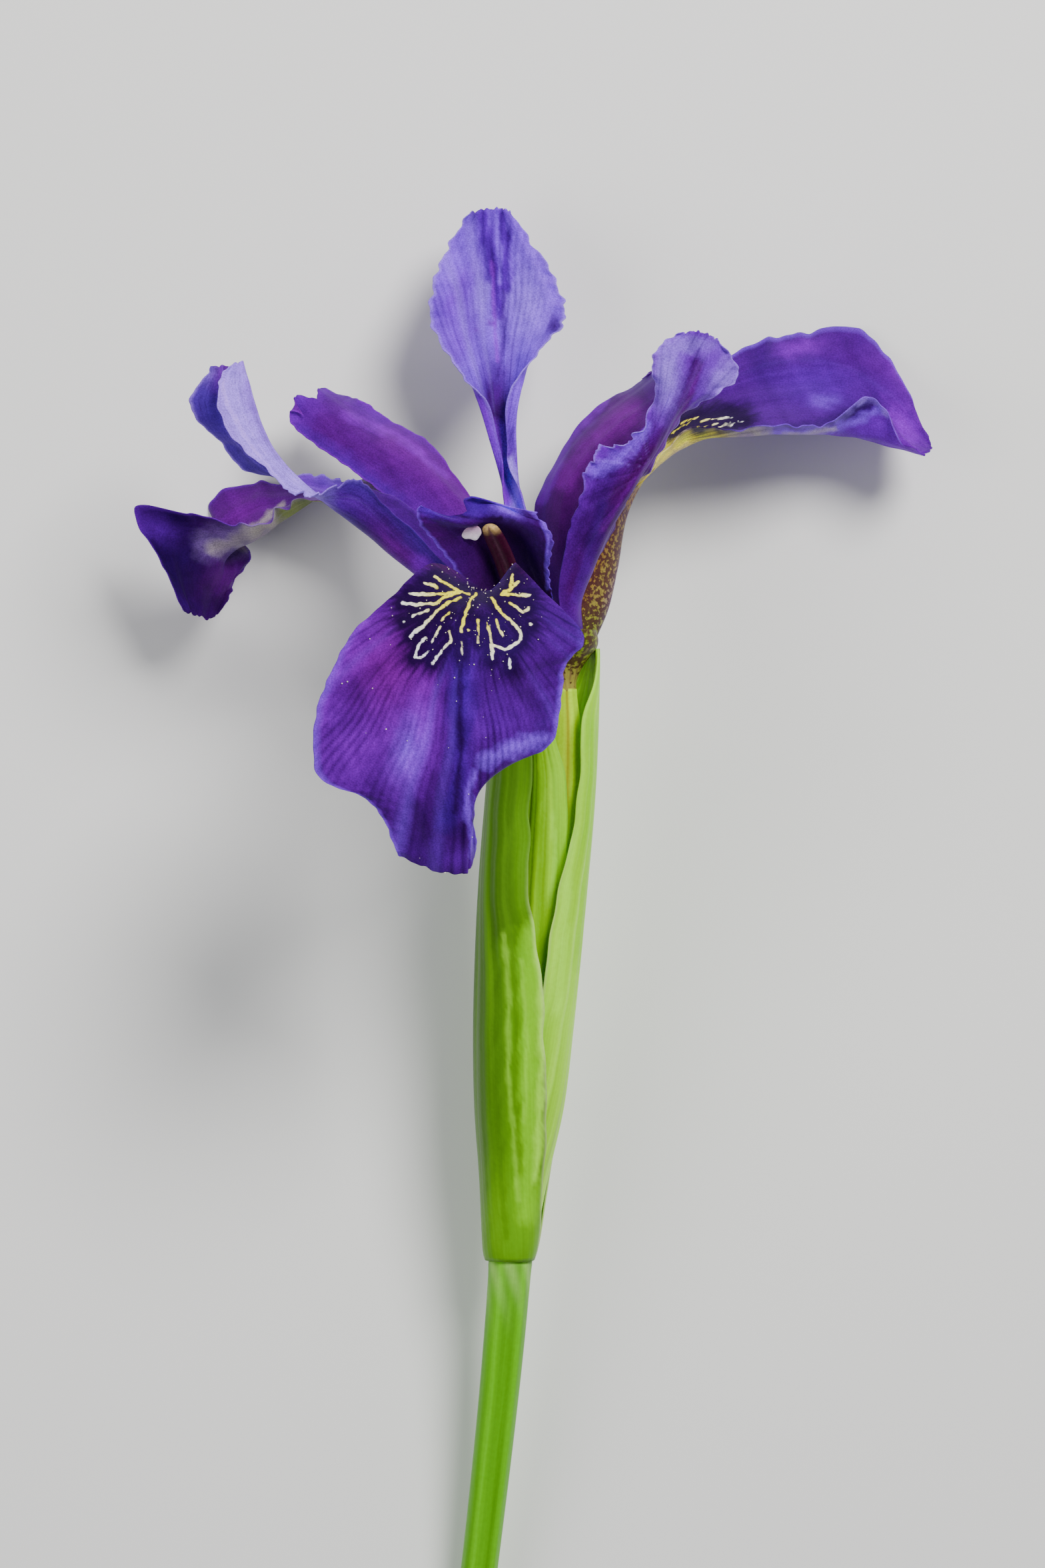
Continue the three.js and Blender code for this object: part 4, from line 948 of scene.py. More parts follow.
# What each petal's paint says:
#   inner, outer  the colours of the two sides; inner faces the flower's middle
#   margin, claw  the colours along the margins and at the narrow foot
#   veins         how dark the fine veins are
#   patches       where, colour, strength, x, y, half width, half height, turn
#   lines         where, colour, strength, width, points
#   fan           where its veins spread from: x, y, and 1 for downwards or -1 for upwards
# Where is a side, in or out, or a half, left or right. Places are seen from the camera.
PAINT = {
    "fall_front": {
        "inner": "deep violet", "outer": "soft violet", "margin": "lavender", "claw": "wine",
        "veins": 0.85, "fan": (-10.3, 13.5, 1),
        "patches": [
            # The lilac and lavender patches on the blade's left half are painted highlights, where it
            # catches the light.
            ("", "magenta violet", 0.95, -19, 1, 5, 6, 0), ("", "lilac", 0.6, -23.8, -6.6, 4.5, 4.5, 0),
            ("", "lilac", 0.95, -16.7, -7, 2.6, 5.4, -8), ("", "lavender", 0.8, -17.4, -7.3, 1.5, 3.4, -12),
            ("", "lilac", 0.5, -23.4, 4.7, 4, 2.2, 45), ("", "deep violet", 0.9, -6.6, -0.4, 3.6, 4, 0),
            ("", "blue violet", 0.8, -11.7, 1, 1.8, 5, 0), ("", "soft violet", 0.6, -7.7, -4.4, 3, 2, 10),
            ("", "dusk", 0.85, -15.4, -15.7, 4, 4.6, 0), ("", "soft violet", 0.5, -13.9, -19, 3.4, 1.6, 0),
            ("", "night", 0.5, -13.6, 8.7, 4.2, 3, 20), ("", "night", 0.5, -7, 9.1, 3.2, 3, -10),
            ("", "wine", 0.8, -14.3, 13.4, 3.2, 1, -30), ("", "wine", 0.8, -5.2, 12.9, 1, 2, 0),
            ("", "umber", 0.9, -10.2, 10.2, 2.4, 0.8, 0),
        ],
        "lines": [
            ("", "blue violet", 0.7, 2.4, [(-11.7, -1.2), (-11.7, -5.5), (-11.9, -10.6), (-13, -14.9)]),
            ("", "night blue", 0.9, 0.7, [(-11.7, 1.7), (-11.7, -4.1), (-11.7, -9.1), (-12.2, -13.9)]),
            # The lavender lines along the step and the curled lower right margin, and the lilac line along
            # the left margin, are painted highlights on the curled edges.
            ("", "lavender", 0.85, 1.6, [(-9, -8.6), (-6.3, -7.2), (-2.4, -6.1)]),
            ("", "lavender", 0.6, 0.8, [
                (-10.1, -9.9), (-10.8, -12), (-10.9, -15), (-10.2, -17), (-10, -19.4),
            ]),
            ("", "lilac", 0.5, 0.9, [(-27.2, -7.7), (-26.9, -2.6), (-24.9, 2.5), (-22.3, 6.6)]),
        ],
    },
    "fall_right": {
        "inner": "deep violet", "outer": "soft violet", "margin": "lavender", "claw": "olive green",
        "veins": 0.14,
        "patches": [
            # The lilac and lavender patches are painted highlights on the blade's waves, and the ink blue
            # patch at 34, 32.7 is painted shade in the crease by the frilled margin.
            ("", "lilac", 0.6, 41.4, 37.6, 4, 1.8, -35), ("", "lilac", 0.5, 28, 40.9, 3, 1, 10),
            ("", "ink blue", 0.7, 23.6, 39.1, 2.2, 4, 0), ("", "lilac", 0.7, 40.1, 31.1, 2, 3.4, 20),
            ("", "bright violet", 0.7, 29.8, 36.3, 5, 3, 0), ("", "ink blue", 0.85, 34, 32.7, 3.2, 1.2, 20),
            ("", "lavender", 0.5, 30.9, 34.3, 1.6, 0.7, 0), ("", "plum", 0.5, 35.9, 38.9, 4, 1.6, -20),
        ],
        "lines": [
            # The pale lavender and lavender lines on the frilled lower margin are painted highlights on its
            # curled edge, and the ink blue line just above them is painted shade in the crease.
            ("out", "pale lavender", 0.8, 0.8, [
                (31.7, 31.5), (33.6, 33), (35.4, 33.9), (36.9, 33.6), (37.7, 32.3),
            ]),
            ("", "ink blue", 0.7, 1.2, [(23.4, 30.4), (29.7, 31), (34.4, 32.6), (36.9, 34.5)]),
            ("out", "lavender", 0.7, 0.9, [
                (23.4, 29.7), (27.3, 30), (31.3, 30.4), (35.2, 31.9), (37.5, 33.1),
            ]),
            ("out", "cream green", 0.6, 0.5, [(25.7, 29.6), (28.5, 29.9), (31.7, 30.5)]),
            ("", "night", 0.85, 2.4, [(11.9, 30.6), (14.4, 31.7), (17.8, 33), (20.9, 32.7)]),
            ("in", "yellow", 0.9, 1.4, [(8.6, 24.7), (10.9, 27.4), (13, 29), (15, 29.5)]),
            ("out", "yellow", 1, 3, [
                (7.4, 22.4), (9, 25), (10.9, 27.4), (13, 29.1), (15.6, 29.6), (18.1, 29.6),
            ]),
            ("", "olive yellow", 0.95, 8, [(0.1, 1.7), (1.4, 6.3), (3.6, 11.5), (5.5, 16.9), (6.7, 21.1)]),
            ("", "ochre", 0.7, 1.4, [(0.6, 6.3), (2.4, 11.5), (4.3, 16.1), (6.3, 20.4), (8, 22.7)]),
            ("out", "cream green", 0.85, 1.5, [(19.2, 30.2), (21, 30.2), (23.4, 29.4)]),
        ],
    },
    "fall_left": {
        "inner": "plum", "outer": "night blue", "margin": "soft violet", "claw": "umber",
        "veins": 0.15,
        "patches": [
            ("", "magenta violet", 0.4, -37.9, 21.1, 4, 3, 20), ("", "ink blue", 0.6, -44.9, 14.3, 4, 5, 0),
            ("", "magenta violet", 0.45, -40.5, 12.2, 2.4, 4, -20),
            ("", "soft violet", 0.6, -48.2, 19, 3, 1.4, -20),
            ("", "ink blue", 0.5, -42.6, 9.7, 4, 2, 0),
        ],
        "lines": [
            ("out", "violet grey", 0.8, 3, [(-41.8, 17.2), (-38.9, 17.8), (-35.3, 19.1)]),
            ("out", "cream green", 0.55, 1.4, [(-41.4, 16.7), (-38.9, 17.5), (-36.4, 18.3)]),
            ("in", "cream green", 0.6, 0.8, [(-37.1, 19.1), (-34.9, 20.8), (-33.4, 22)]),
            ("out", "cream green", 0.95, 2.2, [(-36.4, 19), (-34.1, 20), (-31.7, 21.1)]),
            ("out", "olive green", 0.9, 2.2, [(-32.5, 20.8), (-30.5, 21.5), (-28.1, 22.2)]),
        ],
    },
    "standard_back": {
        "inner": "lavender", "outer": "soft violet", "margin": "pale lavender", "claw": "dusk",
        "veins": 0.7, "fan": (-7.4, 26.6, -1),
        "patches": [
            ("in", "soft violet", 0.45, -12.2, 44, 2.4, 5, -20),
            ("in", "pale lavender", 0.45, -4.3, 45.6, 2.6, 5, 0),
            ("in", "pale lavender", 0.4, -9.7, 46.4, 1, 4, 0),
            ("", "soft violet", 0.6, -12.8, 46.3, 1.2, 4, -30), ("", "dusk", 0.8, -1.1, 42.4, 0.9, 1.3, 0),
            ("", "magenta", 0.8, -8.6, 42.9, 0.32, 0.45, 0),
            ("", "magenta", 0.6, -10.3, 42.2, 0.35, 0.35, 0),
            # The deep violet patch inside the foot of the blade is painted shade in the hollow between the
            # rolled hems.
            ("in", "deep violet", 1, -8.2, 34.8, 2.1, 4.2, 0),
            ("in", "deep magenta", 0.9, -7.8, 31.6, 1.4, 2.6, 0),
            ("in", "soft violet", 0.4, -12.2, 39.9, 1.6, 3, -30),
            ("out", "lavender", 0.9, -5.4, 33.5, 2.4, 7, 0),
            ("out", "soft violet", 0.8, -10.2, 32.8, 1.8, 4.5, -25),
        ],
        "lines": [
            ("in", "bright violet", 1, 2.2, [(-9.7, 55.7), (-9, 52.8), (-8.2, 48.8)]),
            ("in", "bright violet", 1, 1.1, [(-8.2, 48.8), (-7.8, 46.4), (-7.6, 44.1)]),
            ("in", "bright violet", 1, 1.4, [(-7.4, 55.8), (-6.9, 52.8), (-6.8, 49.2), (-7, 47.2)]),
            ("in", "lavender", 0.7, 0.5, [(-8, 55.8), (-7.7, 52), (-7.5, 48)]),
            ("in", "dusk", 0.6, 0.7, [(-7, 46.5), (-7.2, 41.7), (-7.5, 36.8)]),
            ("in", "lilac", 0.6, 0.4, [(-8.5, 50.4), (-8.2, 44.1), (-7.9, 38.5)]),
            ("in", "lilac", 1, 2.4, [(-7.4, 30.4), (-7, 25.8), (-6.8, 22.3)]),
            # The pale lavender line down the right edge of the blade's narrow lower part is a painted
            # highlight.
            ("", "pale lavender", 0.9, 1, [(-6.3, 26.5), (-5.9, 24.2), (-5.5, 20.3)]),
        ],
    },
    "standard_left": {
        "inner": "soft violet", "outer": "slate violet", "margin": "pale lavender", "claw": "dusk",
        "veins": 0.5,
        "patches": [
            ("left", "pale lavender", 0.85, -40.9, 35.6, 1.5, 1.1, 30),
            ("left", "soft violet", 0.6, -40.1, 34, 1, 1, 0),
            ("", "magenta violet", 0.75, -39.3, 35.5, 1.3, 2.4, -10),
            ("", "slate light", 0.8, -25.4, 23.5, 4.4, 1.5, 0),
            ("", "dusk", 0.85, -21, 18, 5.5, 2.6, -40),
            ("", "magenta violet", 0.6, -18.7, 15, 4, 1.2, -42),
            ("", "lilac", 0.6, -16.3, 13.8, 1.2, 1.2, 0),
            ("", "soft violet", 0.5, -24.7, 20.9, 3.5, 1.2, -20),
        ],
        "lines": [
            ("in", "dusk", 0.9, 2.6, [(-22, 22.4), (-17.8, 19.6), (-14.2, 15.6), (-12.4, 13.2)]),
            # The wide pale lavender band over the near, right half is painted light, on the half that faces
            # the light.
            ("right", "pale lavender", 0.95, 5, [
                (-38.3, 35.5), (-37.5, 30.8), (-34.9, 26.2), (-31.4, 23), (-29.6, 22.2),
            ]),
            ("left", "slate light", 0.9, 6, [(-42, 33.5), (-40.3, 28.9), (-37.4, 26)]),
        ],
    },
    "standard_right": {
        "inner": "lavender", "outer": "soft violet", "margin": "pale lavender", "claw": "dusk",
        "veins": 0.6, "fan": (9.4, 24.5, -1),
        "patches": [
            ("", "pale lavender", 0.75, 11.1, 34.7, 1.6, 4, 0),
            ("", "pale lavender", 0.7, 17.9, 34, 2.2, 3, -20),
            ("", "pale lavender", 0.5, 13.7, 37.9, 3.4, 1, 0),
            ("", "soft violet", 0.4, 16.5, 36.1, 1, 2, -30),
        ],
        "lines": [
            ("", "deep magenta", 0.9, 6.4, [(10.2, 25.4), (6.6, 20.9), (3.8, 16.6), (1.6, 11.3)]),
            ("", "bright violet", 0.5, 1.4, [(4.2, 20.2), (2.7, 15), (1.5, 9.9)]),
            ("", "ink blue", 0.6, 2.2, [(4.9, 24.6), (3.8, 20.9), (2.7, 16.5)]),
            ("", "lavender", 0.7, 1.4, [(8.8, 28.9), (6.6, 25.9), (3, 24)]),
            ("", "deep magenta", 0.75, 1.5, [
                (14.5, 36.1), (13.4, 32.5), (12, 29), (9.4, 25.3), (6.6, 21.7),
            ]),
            ("", "magenta", 0.85, 0.5, [(15, 35.7), (13.4, 31.1), (10.2, 26.2), (6.6, 21.7), (4.2, 17.6)]),
        ],
    },
    "style_arm_front": {
        "inner": "blue lit", "outer": "dusk magenta", "margin": "lavender", "claw": "maroon",
        "veins": 0.1,
        "patches": [
            # The night patch down the middle of the arm's hollow is painted shade, and the blue lit and
            # lavender patches on its turned-up crest are painted highlights.
            ("", "dusk", 0.7, -11.9, 14.1, 2.6, 4, 0), ("", "night", 0.7, -8.4, 13.4, 1, 5, 0),
            ("", "ink blue", 0.8, -4.1, 14.8, 2.4, 5.5, 0), ("", "blue lit", 0.7, -14.5, 19.9, 4, 1.2, -8),
            ("", "lavender", 0.6, -7.3, 20.4, 1.2, 0.9, 20),
            ("", "blue violet", 0.85, -9.5, 20.1, 3, 1.4, 0), ("", "lavender", 0.8, -6.5, 19.7, 1.5, 1, -20),
        ],
        "lines": [
            ("", "lavender", 0.8, 0.5, [(-5.4, 20.1), (-2.8, 19), (-2.1, 17), (-2, 11.3)]),
            # The night line at the foot of the crest is painted shade in the arm's bend.
            ("", "night", 0.7, 0.4, [(-14, 19.3), (-11.1, 18.6), (-7.3, 18.6)]),
        ],
    },
    "style_arm_right": {
        "inner": "dusk", "outer": "plum", "margin": "soft violet", "claw": "dusk magenta",
        "veins": 0.08,
        "patches": [("", "dusk", 0.6, 8.4, 36, 2, 1.6, 0)],
        "lines": [
            # The wide deep magenta and magenta violet lines down the middle are partly the arm's own colour
            # and partly a painted glow of light shining through it.
            ("", "deep magenta", 0.85, 7, [(-2.5, 13.2), (-1, 19.3), (2.5, 26.3), (7.1, 31.5)]),
            ("", "magenta violet", 0.5, 2.4, [(-0.2, 23.9), (2.5, 27.9), (7.2, 32.4)]),
            ("", "lilac", 0.35, 1.2, [(-2.7, 21.7), (0.2, 28.9), (4.5, 33.8)]),
        ],
    },
    "style_arm_left": {
        "inner": "soft violet", "outer": "magenta violet", "margin": "lilac", "claw": "magenta",
        "veins": 0.08,
        "patches": [
            ("", "soft violet", 0.6, -30.9, 33.4, 3.6, 3, 0), ("", "dusk", 0.5, -26.7, 34, 2.4, 1.6, -30),
        ],
        "lines": [
            # The arm magenta and magenta lines down the middle are partly the arm's own colour and partly a
            # painted glow of light shining through it.
            ("", "arm magenta", 0.9, 8, [(-27.1, 30.8), (-20.7, 27.4), (-15.2, 24.1), (-11.4, 20.9)]),
            ("", "magenta", 0.95, 3.2, [(-20, 29.1), (-15.2, 25.7), (-11, 21.9)]),
            ("", "blue violet", 0.5, 1.8, [(-31, 30), (-25.4, 26.5), (-19.1, 21)]),
            ("", "lilac", 0.4, 0.9, [(-25.5, 32.3), (-19.2, 29.5), (-13.9, 24.8)]),
        ],
    },
}
# The signal of the front fall: broken white lines that run out from a yellow throat, between lines of
# near-black violet. Each is its width and its points.
SIGNAL = [
    (0.8, [(-10.8, 9.8), (-12.3, 10.4), (-14.6, 11.8)]), (0.7, [(-15.7, 11.1), (-14.2, 10.6)]),
    (0.8, [(-17.2, 9.9), (-14.7, 9.7), (-11.5, 10.1)]),
    (0.8, [(-18, 8.8), (-16.4, 8.6), (-14.3, 8.8), (-13.5, 9.4), (-11.5, 10.1)]),
    (0.8, [(-17.1, 5.1), (-16.2, 5.9), (-15.2, 6.8), (-14, 8.1), (-12.8, 8.9), (-11.7, 9.4)]),
    (0.6, [(-16.9, 7.3), (-15.2, 8)]), (0.6, [(-17.9, 6.7), (-17.8, 6.7)]),
    (0.6, [(-13.8, 6.8), (-12.8, 7.8)]), (0.6, [(-14.8, 4.4), (-13.8, 6.2)]),
    (0.7, [(-16.7, 2.7), (-16.1, 4.4), (-15.4, 4.9)]), (0.5, [(-15.8, 2.9), (-15.1, 3.4)]),
    (0.5, [(-16.7, 2.7), (-15.8, 2.9)]),
    (0.7, [(-14.7, 2.2), (-14, 3.1), (-13.2, 4.1), (-12.6, 4.7), (-13, 5.6)]),
    (0.8, [(-11.6, 5.6), (-11.3, 6.9), (-10.5, 9.3), (-10, 9.8)]), (0.7, [(-5.9, 12.1), (-6.2, 10.6)]),
    (0.8, [(-5.3, 11.2), (-6.3, 10.3), (-7.3, 9.8)]), (0.8, [(-4.1, 9.7), (-5.3, 9.7), (-7.3, 9.8)]),
    (0.7, [(-4.2, 8.3), (-4.8, 7.8), (-6.3, 8.8)]),
    (0.8, [
        (-8.3, 9.3), (-7.3, 7.8), (-5.6, 6.3), (-5, 5.3), (-5.3, 4.4), (-6.8, 3.7), (-8.3, 4.1), (-8.2, 2.6),
    ]),
    (0.6, [(-8.7, 6.6), (-8.2, 4.1)]), (0.6, [(-7.8, 6.9), (-7.1, 5.1)]),
    (0.6, [(-9.8, 6.8), (-9.7, 4.4)]), (0.7, [(-10.8, 5.7), (-10.7, 5.7)]),
    (0.4, [(-11.5, 4.4), (-11.5, 3.1)]), (0.5, [(-6.3, 2.6), (-6.3, 1.6)]), (0.5, [(-4, 6.4), (-3.9, 6.4)]),
]
# The right fall is seen from its edge, so only the start of its signal shows.
SIGNAL_RIGHT = [
    (0.3, [(12.4, 29.9), (13.8, 30.8), (14.7, 31.3)]),
    (0.42, [(13.4, 31.1), (14.5, 31.6), (15.8, 32.0)]),
    (0.5, [(16.0, 31.4), (17.2, 31.7), (19.7, 32.0)]),
    (0.32, [(16.2, 30.7), (18.4, 31.2), (21.2, 31.5)]),
    (0.3, [(15.3, 30.3), (16.7, 30.9)]),
    (0.3, [(17.9, 30.6), (19.8, 31.0)]),
]
# Each signal with the place of its yellow throat. The lines' crisp core is thinner than their width.
SIGNALS = {"fall_front": (SIGNAL, (-10, 10)), "fall_right": (SIGNAL_RIGHT, (12.5, 28.5))}
SIGNAL_THIN = 0.4
# Shares of a petal's length where the claw's colour and its spots end, and of its half width where the
# light rim begins.
CLAW_END = 0.12
SPOTS_END = 0.43
RIM_FROM = 0.945
PETAL_THICK = 0.5


def vein_lines(x, y, t, q, paint):
    """The veins' share at a petal's points, from 0 to about 1, and the lighter share between them.

    Flow counts the veins across the petal. It runs with the petal's width, or round the fan's foot.
    """
    flow = q * 11 + 0.5 * ripple(t * 8 + 2 * q, 3.1, 5) + 0.3 * ripple(q * 5, 1.9, 11)
    fork = 0 * t
    if "fan" in paint:
        foot_x, foot_y, downward = paint["fan"]
        beside, below = x - foot_x, (foot_y - y) * downward
        reach = np.hypot(beside, below)
        spin = np.arctan2(beside, below)
        flow = 8.5 * spin + 0.12 * ripple(reach + 4 * spin, 17, 5)
        fork = np.clip((reach - 13) / 6, 0, 1)
    broad = np.clip(0.5 + 0.5 * ripple(flow + 0.4 * ripple(t * 13, 3, 15), 2.3, 6), 0, 1)
    thread = np.clip(1 - np.abs(np.mod(flow * 1.6, 1) - 0.5) / 0.2, 0, 1)
    forked = np.clip(1 - np.abs(np.mod(flow * 1.6 + 0.5, 1) - 0.5) / 0.16, 0, 1) * fork
    fading = np.clip(0.75 + 0.6 * ripple(flow * 0.9 + t * 3, 2.9, 13), 0.1, 1.2)
    vein = (0.5 * broad + 0.5 * np.maximum(thread, forked) * fading) * np.clip(t * 4 - 0.6, 0, 1)
    stripe = np.clip(1 - np.abs(np.mod(flow * 0.8 + 0.3, 1) - 0.5) / 0.3, 0, 1)
    return vein, stripe * np.clip(ripple(flow, 5, 19), 0, 1) * np.clip(t * 3 - 1, 0, 1)


def paint_petal(x, y, t, q, side, paint):
    """The colours of a petal's points, from its paint."""
    chosen = {"": 1, "in": side > 0, "out": side < 0, "left": q < 0, "right": q > 0}
    margin = pigment(paint["margin"])
    colors = np.where(side[:, None] > 0, pigment(paint["inner"]), pigment(paint["outer"]))
    colors = paint_marks(colors, x, y, paint, chosen)
    mottle = 1 + 0.1 * ripple(x + 0.5 * y, 3.1, 8) + 0.07 * ripple(y - 0.3 * x, 2.2, 9)
    vein, between = vein_lines(x, y, t, q, paint)
    colors = colors * (mottle * (1.12 - paint["veins"] * vein))[:, None]
    colors = blend(colors, margin, 0.42 * paint["veins"] * between)
    rim = np.clip((np.abs(q) - RIM_FROM) * 20, 0, 1) * np.clip(t * 6 - 2.4, 0, 1)
    colors = blend(colors, margin, 0.55 * rim)
    return blend(colors, pigment(paint["claw"]), 0.8 * np.clip((CLAW_END - t) / 0.1, 0, 1))


def signal_marks(x, y, signal, heart):
    """How far each place lies inside the signal's lines, in mm, and the lines' share of yellow."""
    wander = 0.09 * ripple(y + 0.6 * x, 1.7, 3)
    stray = 0.09 * ripple(x - 0.5 * y, 1.5, 4)
    far = np.hypot(x - heart[0], y - heart[1])
    inside = np.full(x.shape, -3.0)
    for width, line in signal:
        half = SIGNAL_THIN * width / 2 * np.clip(0.85 + far / 25, 0, 1.2)
        inside = np.maximum(inside, half - near_line(x + stray, y + wander, line))
    inside += 0.05 * ripple(x * 1.3 + y, 1.3, 12) + 0.04 * ripple(y - 0.8 * x, 0.8, 14)
    streaks = ripple(14 * np.arctan2(x - heart[0], heart[1] - y), 1.1, 17)
    inside += 0.7 * np.clip(-inside - 0.4, 0, 1) * streaks
    return inside, np.clip(1.9 - far / 4.4, 0, 1)


# Velvet: matt, with a blue-violet shimmer where it turns away, and a fine grain of raised cells.
VELVET = {
    "roughness": 0.55, "grain": 0.18, "fibres": (50, 2), "streak": 0.1, "speck": 0.22,
    "gloss": "8048ff", "sheen": 0.1,
}
petal_skin = tint_material("velvety petal", **VELVET)
# The same velvet with the spots of the claw and the crisp light lines of the signal on it.
fall_skin = tint_material("velvety fall with its signal", over=mark_nodes, **VELVET)
for name, petal in PETALS.items():
    grid, along, q = petal_surface(petal)
    thickness = PETAL_THICK * (1 - 0.62 * q ** 2)[None] * np.clip(1.3 - along, 0.45, 1)[:, None]
    vertices, faces = thick_sheet(grid, thickness)
    is_fall = petal["slot"] == "fall_petal"
    piece = add_piece(name, vertices, faces, [fall_skin if is_fall else petal_skin], name)
    x, y = vertices[:, 0], vertices[:, 1]
    t = np.tile(np.repeat(along, len(q)), 2)
    across = np.tile(q, 2 * len(along))
    side = np.repeat([1, -1], len(along) * len(q))
    if is_fall:
        inside, yellow = signal_marks(x, y, *SIGNALS.get(name, ([], (0, 0))))
        spots = 0 * t - 1 if name == "fall_front" else np.clip((SPOTS_END - t) / 0.14, -1, 1)
        set_marks(piece, inside, yellow, spots)
    set_tint(piece, np.clip(paint_petal(x, y, t, across, side, PAINT[name]), 0, 1))
    set_uv(piece, (across + 1) / 2, t)


# Stamens.
# A violet-brown filament and a long anther of two pollen sacs with a groove between them, one under
# each style arm. They grow from the mouth of the tube. Across is the direction of the anther's width.
STAMENS = {
    "stamen_front": {
        "across": (0.94, 0, 0.34),
        "line": [
            (-2.1, 5.9, 2.9), (-4.2, 9.3, 7.5), (-5.8, 11.2, 10.2), (-7.1, 14.6, 13.6), (-8.7, 17.9, 17.2),
        ],
    },
    "stamen_right": {
        "across": (0.22, 0, 0.97),
        "line": [
            (1.3, 5.9, 0.2), (1.6, 10.8, -0.8), (2.2, 15.5, -1.6), (3.4, 20.4, -3), (5.6, 24.6, -5),
        ],
    },
    "stamen_left": {
        "across": (-0.47, 0, 0.88),
        "line": [
            (-3.5, 5.9, -0.4), (-7.4, 11.2, -2.2), (-12.2, 16.3, -5), (-16.8, 21.2, -8),
            (-20.4, 24.4, -10.2),
        ],
    },
}
STAMEN_SIDES = 40
STAMEN_ROWS = 90
FILAMENT_RADIUS = 0.4
ANTHER_HALF_WIDTH = 1.25
ANTHER_HALF_DEPTH = 0.55
ANTHER_FROM = 0.42
ANTHER_TIP = 0.93
GROOVE_DEPTH = 0.5
FILAMENT_VIOLET = "4a0038"
ANTHER_BEIGE = "b89860"
# Most of each anther is dark violet, partly its own colour and partly painted shade under its style arm;
# only its tip is beige.
ANTHER_DARK_AND_SHADE = "3a0026"
ANTHER_SEAM = "70405a"


def stamen_rings(stamen, t, turn):
    """The points of a stamen's rings: round along the filament, flat and grooved along the anther."""
    line = smooth_curve(stamen["line"], t)
    tangent = np.gradient(line, axis=0)
    tangent /= np.linalg.norm(tangent, axis=1)[:, None]
    across = np.array(stamen["across"]) - tangent * (tangent @ stamen["across"])[:, None]
    across /= np.linalg.norm(across, axis=1)[:, None]
    deep = np.cross(tangent, across)
    share = np.clip((t - ANTHER_FROM) / (1 - ANTHER_FROM), 0, 1)
    full = np.sqrt(np.clip(1 - np.abs(2 * share - 1) ** 5, 0, 1)) * (share > 0)
    groove = GROOVE_DEPTH * np.exp(-(np.cos(turn) / 0.22) ** 2)
    half_width = FILAMENT_RADIUS + (ANTHER_HALF_WIDTH - FILAMENT_RADIUS) * full
    half_depth = FILAMENT_RADIUS + (ANTHER_HALF_DEPTH - FILAMENT_RADIUS) * full
    taper = np.clip((1.003 - t) / 0.02, 0.15, 1) ** 0.5
    wide = (half_width * taper)[:, None] * np.cos(turn)
    thick = (half_depth * taper)[:, None] * np.sin(turn) * (1 - groove * full[:, None])
    rings = line[:, None] + across[:, None] * wide[..., None] + deep[:, None] * thick[..., None]
    return np.vstack([rings.reshape(-1, 3), line[0], line[-1]])


# Powdery sacs: dull and grainy along the anther, with a faint rosy shine on the filament.
anther_skin = tint_material("anther and filament", roughness=0.6, grain=0.25, fibres=(14, 30),
                            streak=0.15, speck=0.2, gloss="c890a0")
t = np.linspace(PETAL_START, 1, STAMEN_ROWS)
turn = ring_turns(STAMEN_SIDES)
ring_turn, ring_t = ring_places(turn, t)
faces = ring_faces(STAMEN_ROWS, STAMEN_SIDES) + end_faces(STAMEN_ROWS, STAMEN_SIDES)
for name, stamen in STAMENS.items():
    vertices = stamen_rings(stamen, t, turn)
    piece = add_piece(name, vertices, faces, [anther_skin], name)
    on_anther = np.clip((ring_t - ANTHER_FROM) / 0.05, 0, 1)
    colors = blend(plain(FILAMENT_VIOLET, vertices), linear(ANTHER_DARK_AND_SHADE), on_anther)
    colors = blend(colors, linear(ANTHER_BEIGE), np.clip((ring_t - ANTHER_TIP) / 0.05, 0, 1))
    seam = np.exp(-(np.cos(ring_turn) / 0.16) ** 2) * on_anther
    set_tint(piece, blend(colors, linear(ANTHER_SEAM), 0.7 * seam))
    set_uv(piece, ring_turn / FULL_TURN, ring_t)


# Pollen grains.
# Fine cream clumps of pollen that have dropped from the anthers and cling to the front fall, most of them
# round its signal. They are scattered over both sides of the fall's solid, which is thicker than the
# petal here, so they lie about 0.2 mm off the petal.
# The density is in grains for a square metre, radii are in metres and the dust's places in millimetres.
GRAIN_DENSITY = 600000
GRAIN_SMALL = 0.00003
GRAIN_LARGE = 0.00009
GRAIN_SEED = 5
GRAIN_CREAM = "fff4dc"
DUST_HEART = (-10, 8)
DUST_SPREAD = 5.5
DUST_LOWEST = 22

scatter = bpy.data.node_groups.new("scatter grains", "GeometryNodeTree")
sockets = {}
given_sockets = [
    ("Surface", "Geometry"), ("Grains per square metre", "Float"), ("Smallest radius", "Float"),
    ("Largest radius", "Float"), ("Seed", "Int"), ("Finish", "Material"),
]
for label, kind in given_sockets:
    item = scatter.interface.new_socket(label, in_out="INPUT", socket_type="NodeSocket" + kind)
    sockets[label] = item.identifier
scatter.interface.new_socket("Grains", in_out="OUTPUT", socket_type="NodeSocketGeometry")
given = scatter.nodes.new("NodeGroupInput").outputs
dusting = add_node(scatter, "GeometryNodeInputNamedAttribute", {"data_type": "FLOAT"}, {"Name": "dusting"})
density = add_node(scatter, "Math", {"operation": "MULTIPLY"}, {
    0: given["Grains per square metre"], 1: dusting.outputs[0],
})
points = add_node(scatter, "GeometryNodeDistributePointsOnFaces", {"distribute_method": "RANDOM"}, {
    "Mesh": given["Surface"], "Density": density.outputs[0], "Seed": given["Seed"],
})
grain = add_node(scatter, "GeometryNodeMeshIcoSphere", links={"Radius": 1, "Subdivisions": 1})
